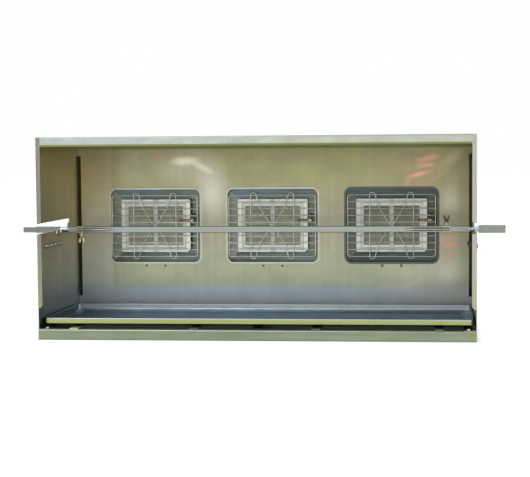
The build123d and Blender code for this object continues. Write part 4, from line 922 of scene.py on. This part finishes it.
def spit_steel(looks):
    """Spit: brushed bar with a painted bluish reflection at the left, painted highlights on the
    turned necks, painted shade on its underside and darker ends.
    """
    finish = brushed("spit_steel", looks.bar, "X", 0.3, streaks=0.14)
    x, _, z = finish.axes()
    # Painted highlights on the turned necks.
    finish.over(abs(x).band(0.610, 0.640, 0.001) * 0.85, (0.62, 0.70, 0.78))
    # Painted bluish reflection on the left part.
    finish.over(x.step(-0.25, -0.45) * 0.8, (0.36, 0.425, 0.44))
    finish.over(x.step(-0.635, -0.645), shade(looks.bar, 0.56))
    finish.over(x.step(0.635, 0.645), shade(looks.bar, 0.76))
    # Painted shade on the underside.
    finish.over(z.step(SPIT_Z - 0.004, SPIT_Z - 0.009) * 0.4, shade(looks.bar, 0.7))
    return finish.close()


class FinishSpit(bpy.types.Operator):
    """Spit and forks, with the welds of the prongs"""

    bl_idname = "rotisserie.finish_spit"
    bl_label = "Finish spit"

    def execute(self, context):
        looks = context.scene.spit_looks
        dress(spit_steel(looks), "spit_bar", "spit_drive_sleeve")
        fork = satin("fork_steel", looks.fork, 1.0, 0.26)
        weld = satin("weld_steel", shade(looks.fork, 0.62), 0.9, 0.42, bump=0.3)
        for side, heading in (("left", 1), ("right", -1)):
            dress(fork, f"fork_{side}")
            self.weld_fork(looks, f"fork_{side}", heading, weld)
        return {"FINISHED"}

    def weld_fork(self, looks, node, heading, finish):
        """Weld runs above and below each prong, along the hub."""
        start, end, _ = span(node)
        rear = start.x if heading > 0 else end.x
        piece = Piece(node.replace("fork", "fork_welds"))
        for y in (start.y + looks.prong - 0.0008, end.y - looks.prong + 0.0008):
            for step in (-1, 1):
                z = SPIT_Z + step * looks.prong * 0.33
                piece.seam((rear + heading * 0.005, y, z),
                           (rear + heading * (looks.hub - 0.003), y, z),
                           (0.0021, 0.0016, 0.0017), 0.0026)
        piece.paint(finish)
        piece.finish(node, "fork_steel")


class MakeWingScrews(bpy.types.Operator):
    """Wing screws of the forks, with threads and cast wings"""

    bl_idname = "rotisserie.make_wing_screws"
    bl_label = "Make wing screws"

    def execute(self, context):
        looks = context.scene.spit_looks
        cast = satin("wing_steel", looks.wing, 1.0, 0.30, grain_scale=160.0, bump=0.15)
        _, _, z = cast.axes()
        # Painted light and shade: the cast is light golden below the spit and dark above it, so the
        # left screw's wings are light and the right screw's dark.
        cast.over(z.step(SPIT_Z - 0.012, SPIT_Z - 0.020), (0.72, 0.68, 0.42))
        cast.over(z.step(SPIT_Z + 0.018, SPIT_Z + 0.026) * 0.9, (0.11, 0.105, 0.07))
        cast.close()
        cast_height, seat = 0.0205, 0.0030
        for side, heading in (("left", -1), ("right", 1)):
            node = f"wing_screw_{side}"
            start, end, centre = span(node)
            foot = Vector((centre.x, centre.y, start.z if heading > 0 else end.z))
            axis = Vector((0.0, 0.0, float(heading)))
            reach = end.z - start.z
            collar = reach - cast_height
            piece = Piece(node + "_cast")
            piece.thread(foot, axis, 0.004, collar + 0.001, 0.00125, tip=1.0)
            piece.turn([(0.0, collar), (0.0058, collar), (0.0065, collar + 0.0008),
                        (0.0062, collar + 0.0035), (0.0050, collar + 0.0060),
                        (0.0028, collar + 0.0078), (0.0, collar + 0.0082)], foot, axis)
            for outward in (-1, 1):
                self.wing(piece.mesh, foot + axis * (collar + seat), outward, heading,
                          reach - collar - seat)
            piece.paint(cast)
            piece.finish(node, "screw_steel", node)
        return {"FINISHED"}

    def wing(self, mesh, root, outward, heading, height):
        """Cast wing, extruded ring by ring from the collar out to a rounded tip."""
        sides, inset = 12, 0.0022
        place = (Matrix.Translation(root + Vector((outward * inset, 0.0, 0.0)))
                 @ Matrix.Diagonal((0.0034, 0.0019, 1, 1)))
        ring = bmesh.ops.create_circle(mesh, cap_ends=True, segments=sides, radius=1.0,
                                       matrix=place)["verts"]
        rings = ((0.0018, 0.25, 1.02, 0.95), (0.0032, 0.50, 1.08, 0.92), (0.0040, 0.74, 1.10, 0.92),
                 (0.0043, 0.90, 0.85, 0.85), (0.0043, 0.985, 0.45, 0.55))
        for index, (across, up, wide, thick) in enumerate(rings):
            caps = [face for face in {face for vert in ring for face in vert.link_faces}
                    if len(face.verts) == sides]
            ring = corners_of(bmesh.ops.extrude_face_region(mesh, geom=caps)["geom"])
            if index:
                bmesh.ops.delete(mesh, geom=caps, context="FACES_ONLY")
            centre = sum((vert.co for vert in ring), Vector()) / sides
            goal = root + Vector((outward * (inset + across), 0.0, heading * height * up))
            for vert in ring:
                away = vert.co - centre
                vert.co = goal + Vector((away.x * wide, away.y * thick, away.z))


# Fasteners and welds

def cover_screws(finish):
    piece = Piece("cover_screws_cross")
    head = 0.003
    for start, end, centre in islands("cover_screws"):
        piece.screw_head((centre.x, end.y - head, centre.z), BACK, (end.x - start.x) / 2, head)
        piece.thread((centre.x, start.y, centre.z), BACK, 0.0025, end.y - head - start.y, 0.0012,
                     segments=12)
    piece.paint(finish)
    piece.finish("cabinet", "screw_steel", "cover_screws")


def base_bolts(finish):
    piece = Piece("base_bolts_hex")
    head, washer = 0.004, 0.0008
    for start, end, centre in islands("base_bolts"):
        across = min(end.x - start.x, end.y - start.y)
        seat = Vector((centre.x, centre.y, end.z - head))
        piece.drum(across * 0.56, 0.0, washer, seat, UP)
        piece.prism(6, across / math.sqrt(3) * 0.98, seat + Vector((0.0, 0.0, washer)), UP,
                    head - washer, edge=0.0004)
        piece.thread(seat, DOWN, 0.003, end.z - head - start.z, 0.001, segments=12)
    piece.paint(finish)
    piece.finish("cabinet", "screw_steel", "base_bolts")


def burner_screws(front, rear):
    """Cross-head screws in front of the back panel and behind it."""
    piece = Piece("burner_screws_cross")
    boxes = islands("burner_screws")
    head = 0.0022
    for start, end, centre in boxes:
        if start.y < PANEL_Y:
            foot = (centre.x, start.y + head, centre.z)
            piece.screw_head(foot, AHEAD, (end.x - start.x) / 2, head)
            piece.thread(foot, BACK, 0.0018, end.y - start.y - head, 0.0011, segments=12)
    piece.paint(front)
    head = 0.0024
    for start, end, centre in boxes:
        if start.y > PANEL_Y:
            piece.screw_head((centre.x, end.y - head, centre.z), BACK, (end.x - start.x) / 2, head)
            piece.drum(0.0021, 0.0, end.y - start.y - head, (centre.x, start.y, centre.z), BACK,
                       segments=16)
    piece.paint(rear)
    piece.finish("cabinet", "screw_steel", "burner_screws")


def comb_bolts(side, finish):
    """Bolts of a comb plate: nuts on long threads inside at the right, heads inside at the left."""
    node = f"support_bolts_{side}"
    piece = Piece(node + "_threaded")
    wall, face = HALF - SHEET, HALF + COMB_PLATE
    head_at, nut_at = (face, wall) if side == "right" else (-wall, -face)
    across, tall, washer = 0.0128, 0.0052, 0.0012
    for start, end, centre in islands(node):
        foot = Vector((head_at, centre.y, centre.z))
        head = end.x - head_at
        piece.turn([(0.0, 0.0), (0.0068, 0.0), (0.0068, head * 0.35), (0.0062, head * 0.7),
                    (0.0046, head * 0.95), (0.0, head)], foot, RIGHT)
        piece.thread(foot, LEFT, 0.004, head_at - start.x, 0.00125)
        foot = Vector((nut_at, centre.y, centre.z))
        piece.drum(0.0078, 0.0, washer, foot, LEFT, bore=0.0041)
        foot.x -= washer
        piece.prism(6, across / math.sqrt(3), foot, LEFT, tall, edge=tall * 0.09)
        foot.x -= tall * 0.98
        piece.prism(24, across * 0.47, foot, LEFT, tall * 0.05)
    piece.paint(finish)
    piece.finish("cabinet", "screw_steel", node)


class MakeFasteners(bpy.types.Operator):
    """Screws, bolts and nuts of the panels, comb plates, burners and base"""

    bl_idname = "rotisserie.make_fasteners"
    bl_label = "Make fasteners"

    def execute(self, context):
        # Painted light and shade: one kind of screw in four tones, lighter or darker by where it
        # sits.
        bright = satin("bright_screw", (0.66, 0.66, 0.64), 1.0, 0.22, bump=0.02)
        mild = satin("mild_screw", (0.40, 0.37, 0.38), 1.0, 0.30, bump=0.02)
        dull = satin("dull_shaded_screw", (0.20, 0.20, 0.19), 1.0, 0.38)
        dark = satin("dark_screw", (0.13, 0.135, 0.12), 0.9, 0.45)
        cover_screws(bright)
        base_bolts(bright)
        burner_screws(dark, dull)
        comb_bolts("left", mild)
        comb_bolts("right", dull)
        return {"FINISHED"}


class WeldBase(bpy.types.Operator):
    """Weld runs at the corners of the base and the pin of the drive sleeve"""

    bl_idname = "rotisserie.weld_base"
    bl_label = "Weld base"

    def execute(self, context):
        piece = Piece("base_welds")
        margin = 0.004
        outer = ((-HALF, HALF), (0.0009, 0.0024, 0.0022))
        inner = ((-HALF + TUBE, -TUBE / 2, TUBE / 2, HALF - TUBE), (0.0018, 0.0018, 0.0022))
        for places, size in (outer, inner):
            for x in places:
                for y in (FRONT + TUBE, high("base_frame").y - TUBE):
                    piece.seam((x, y, margin), (x, y, TUBE - margin), size, 0.0032)
        piece.paint(satin("base_weld", (0.34, 0.35, 0.31), 0.9, 0.42, bump=0.3))
        piece.finish("cabinet", "base_steel")
        start, end, _ = span("spit_drive_sleeve")
        pin = Piece("sleeve_pin")
        for y, axis in ((start.y, AHEAD), (end.y, BACK)):
            pin.turn([(0.0, -0.001), (0.0026, -0.001), (0.0026, 0.0), (0.0020, 0.0005),
                      (0.0, 0.0006)], (start.x + 0.020, y, SPIT_Z), axis, segments=16)
        pin.paint(satin("pin_steel", (0.40, 0.41, 0.40), 1.0, 0.3))
        pin.finish("spit", "spit_steel")
        return {"FINISHED"}


# Gas parts

def make_knob(looks, place, plastic, paint):
    """Knob: rounded skirt with a grip bar and a painted pointer line."""
    node = f"tap_knob_{place}"
    start, end, centre = span(node)
    radius = (end.x - start.x) / 2
    bore, skirt, grip = 0.0045, looks.knob_skirt, looks.knob_grip / 2
    piece = Piece(node + "_moulded")
    piece.turn([(0.0, skirt - 0.0015), (bore, skirt - 0.0015), (bore, 0.0), (radius, 0.0),
                (radius, skirt * 0.6), (radius - 0.0006, skirt * 0.82), (radius - 0.0024, skirt),
                (radius * 0.55, skirt + 0.0004), (0.0, skirt + 0.0004)],
               (centre.x, start.y, centre.z), BACK, segments=48)
    tall = radius - 0.0018
    face = end.y - 0.0003
    piece.slab((centre.x - grip, start.y + skirt - 0.0006, centre.z - tall),
               (centre.x + grip, face, centre.z + tall), edge=0.0030, segments=4)
    piece.paint(plastic)
    piece.slab((centre.x - 0.0008, face - 0.0003, centre.z + 0.004),
               (centre.x + 0.0008, end.y, centre.z + tall - 0.0036), edge=0.0002)
    piece.paint(paint)
    piece.finish(node, "knob_black", node)


def make_inlet(looks, finish):
    """Inlet nipple: hexagons inside and outside the cover and a pipe thread with an open bore."""
    start, end, centre = span("inlet_fitting")
    cover = high("rear_cover").y
    thread, bore, flange = 0.0104775, 0.007, 0.006
    root = thread - 0.0011
    pitch = looks.thread_pitch
    length, inside = end.y - start.y, cover - start.y
    profile = [(bore, 0.0), (bore, length), (thread - 0.0016, length)]
    for index in range(int((end.y - cover - flange) / pitch)):
        profile += [(thread, length - (index + 0.7) * pitch),
                    (root, length - (index + 1.2) * pitch)]
    profile += [(root, inside + flange), (thread, inside + flange - 0.001), (thread, 0.002),
                (thread - 0.001, 0.0), (bore, 0.0)]
    piece = Piece("inlet_threaded")
    piece.turn(profile, (centre.x, start.y, centre.z), BACK, segments=32)
    seat, corner = thread - 0.0002, (end.z - start.z) / 2 * 0.995 * 0.86
    for foot, height in ((cover, flange), (start.y, inside - 0.004)):
        piece.drum(corner, 0.0, height, (centre.x, foot, centre.z), BACK, segments=6, bore=seat)
    piece.paint(finish)
    piece.finish("cabinet", "brass", "inlet_fitting", limit=30.0)


class FinishGasParts(bpy.types.Operator):
    """Manifold, inlet, leads and knobs"""

    bl_idname = "rotisserie.finish_gas_parts"
    bl_label = "Finish gas parts"

    def execute(self, context):
        looks = context.scene.gas_looks
        dress(satin("pipe_paint", looks.pipe, 0.3, 0.45), "gas_manifold", "manifold_brackets")
        dress(satin("copper", (0.34, 0.20, 0.13), 1.0, 0.38), "thermocouple_leads")
        plastic = satin("knob_plastic", looks.knob, 0.0, 0.42, bump=0.12)
        pointer = satin("pointer_paint", looks.pointer, 0.0, 0.5)
        shaft = satin("shaft_steel", (0.6, 0.6, 0.58), 1.0, 0.25)
        for place in PLACES:
            make_knob(looks, place, plastic, pointer)
            dress(shaft, f"tap_spindle_{place}")
        make_inlet(looks, satin("inlet_brass", (0.58, 0.40, 0.16), 1.0, 0.28))
        return {"FINISHED"}


# Stage

class SetStage(bpy.types.Operator):
    """Camera, floor, world and lamps"""

    bl_idname = "rotisserie.set_stage"
    bl_label = "Set stage"

    def execute(self, context):
        looks = context.scene.stage_looks
        self.camera(context.scene, looks)
        self.floor(context.scene)
        self.world(context.scene, looks)
        self.lamps(context.scene, looks)
        context.scene.view_settings.view_transform = "Standard"
        return {"FINISHED"}

    def camera(self, scene, looks):
        data = bpy.data.cameras.new("camera")
        data.sensor_width = 36.0
        data.lens = looks.focal / PHOTO_WIDTH * data.sensor_width
        data.shift_x = (PHOTO_WIDTH / 2 - looks.middle[0]) / PHOTO_WIDTH
        data.shift_y = (looks.middle[1] - PHOTO_HEIGHT / 2) / PHOTO_WIDTH
        data.clip_end = 200.0
        camera = bpy.data.objects.new("camera", data)
        yaw, pitch, roll = looks.turn
        ahead = Vector((math.sin(yaw) * math.cos(pitch), math.cos(yaw) * math.cos(pitch),
                        math.sin(pitch)))
        right = Vector((math.cos(yaw), -math.sin(yaw), 0.0))
        up = right.cross(ahead)
        right, up = (right * math.cos(roll) + up * math.sin(roll),
                     up * math.cos(roll) - right * math.sin(roll))
        turn = Matrix((right, up, -ahead)).transposed().to_4x4()
        camera.matrix_world = Matrix.Translation(looks.eye) @ turn
        scene.collection.objects.link(camera)
        scene.camera = camera

    def floor(self, scene):
        """White floor that keeps the object's shadow and stays dark under the cabinet, with a faint
        painted glow there.
        """
        mesh = bmesh.new()
        bmesh.ops.create_grid(mesh, x_segments=1, y_segments=1, size=30.0)
        data = bpy.data.meshes.new("floor")
        mesh.to_mesh(data)
        mesh.free()
        floor = bpy.data.objects.new("floor", data)
        scene.collection.objects.link(floor)
        finish = Finish("floor_paper")
        x, y, _ = finish.axes()
        outside = abs(x).step(HALF - 0.02, HALF + 0.03) | abs(y).step(-FRONT - 0.02, -FRONT + 0.03)
        finish.base = finish.mix(outside, (0.62, 0.64, 0.54), (0.86, 0.86, 0.86))
        # Painted glow: a faint emission on the floor under the cabinet.
        finish.close(Roughness=0.9, Emission_Strength=1.0,
                     Emission_Color=finish.mix(outside, (0.017, 0.019, 0.013), BLACK))
        white = finish.add("ShaderNodeEmission", inputs={"Color": WHITE, "Strength": 1.15})
        seen = finish.add("ShaderNodeLightPath", output="Is Camera Ray")
        paper = Wire(finish, finish.shader.outputs[0])
        share = seen * outside * 0.8
        blend = finish.add("ShaderNodeMixShader", inputs={0: share, 1: paper, 2: white})
        finish.feed(finish.find("OUTPUT_MATERIAL").inputs["Surface"], blend)
        data.materials.append(finish.material)

    def world(self, scene, looks):
        """Even white light, brighter where the camera, gloss or glass looks at it."""
        world = bpy.data.worlds.new("studio")
        world.use_nodes = True
        scene.world = world
        studio = Finish("studio", world.node_tree)
        path = studio.add("ShaderNodeLightPath").socket.node
        camera, gloss, glass = (Wire(studio, path.outputs[name]) for name in
                                ("Is Camera Ray", "Is Glossy Ray", "Is Transmission Ray"))
        shown = (camera + gloss + glass) & 1.0
        studio.set(Color=WHITE, Strength=looks.world + shown * (1.0 - looks.world))

    def lamps(self, scene, looks):
        for name, place, size, power in (("key", (-1.2, -2.6, 2.6), 2.2, looks.lamp),
                                         ("fill", (2.4, -2.0, 1.6), 1.8, looks.lamp * 0.5)):
            data = bpy.data.lights.new(name, "AREA")
            data.energy = power
            data.size = size
            lamp = bpy.data.objects.new(name, data)
            lamp.location = place
            lamp.rotation_mode = "QUATERNION"
            aim = Vector((0.0, 0.0, 0.3)) - Vector(place)
            lamp.rotation_quaternion = aim.to_track_quat("-Z", "Y")
            scene.collection.objects.link(lamp)


class RotisseriePanel(bpy.types.Panel):
    """Sizes, colours and steps of the rotisserie"""

    bl_idname = "VIEW3D_PT_rotisserie"
    bl_label = "Rotisserie"
    bl_space_type = "VIEW_3D"
    bl_region_type = "UI"
    bl_category = "Rotisserie"

    def draw(self, context):
        for group, (_, steps) in GROUPS.items():
            column = self.layout.column(align=True)
            looks = getattr(context.scene, group)
            for name in looks.__annotations__:
                column.prop(looks, name)
            for step in steps:
                column.operator(step.bl_idname)


GROUPS = {
    "cabinet_looks": (CabinetLooks, (FinishCabinet, MakeFasteners, WeldBase)),
    "burner_looks": (BurnerLooks, (FinishBurners, MakePlaques, MakeSensors)),
    "spit_looks": (SpitLooks, (FinishSpit, MakeWingScrews)),
    "gas_looks": (GasLooks, (FinishGasParts,)),
    "stage_looks": (StageLooks, (SetStage,)),
}
OPERATORS = tuple(step for _, steps in GROUPS.values() for step in steps)


def register():
    for name, (group, _) in GROUPS.items():
        bpy.utils.register_class(group)
        setattr(bpy.types.Scene, name, bpy.props.PointerProperty(type=group))
    for operator in OPERATORS:
        bpy.utils.register_class(operator)
    bpy.utils.register_class(RotisseriePanel)


def unregister():
    bpy.utils.unregister_class(RotisseriePanel)
    for operator in reversed(OPERATORS):
        bpy.utils.unregister_class(operator)
    for name, (group, _) in GROUPS.items():
        delattr(bpy.types.Scene, name)
        bpy.utils.unregister_class(group)


def main():
    register()
    for operator in OPERATORS:
        group, step = operator.bl_idname.split(".")
        getattr(getattr(bpy.ops, group), step)()


if __name__ == "__main__":
    main()
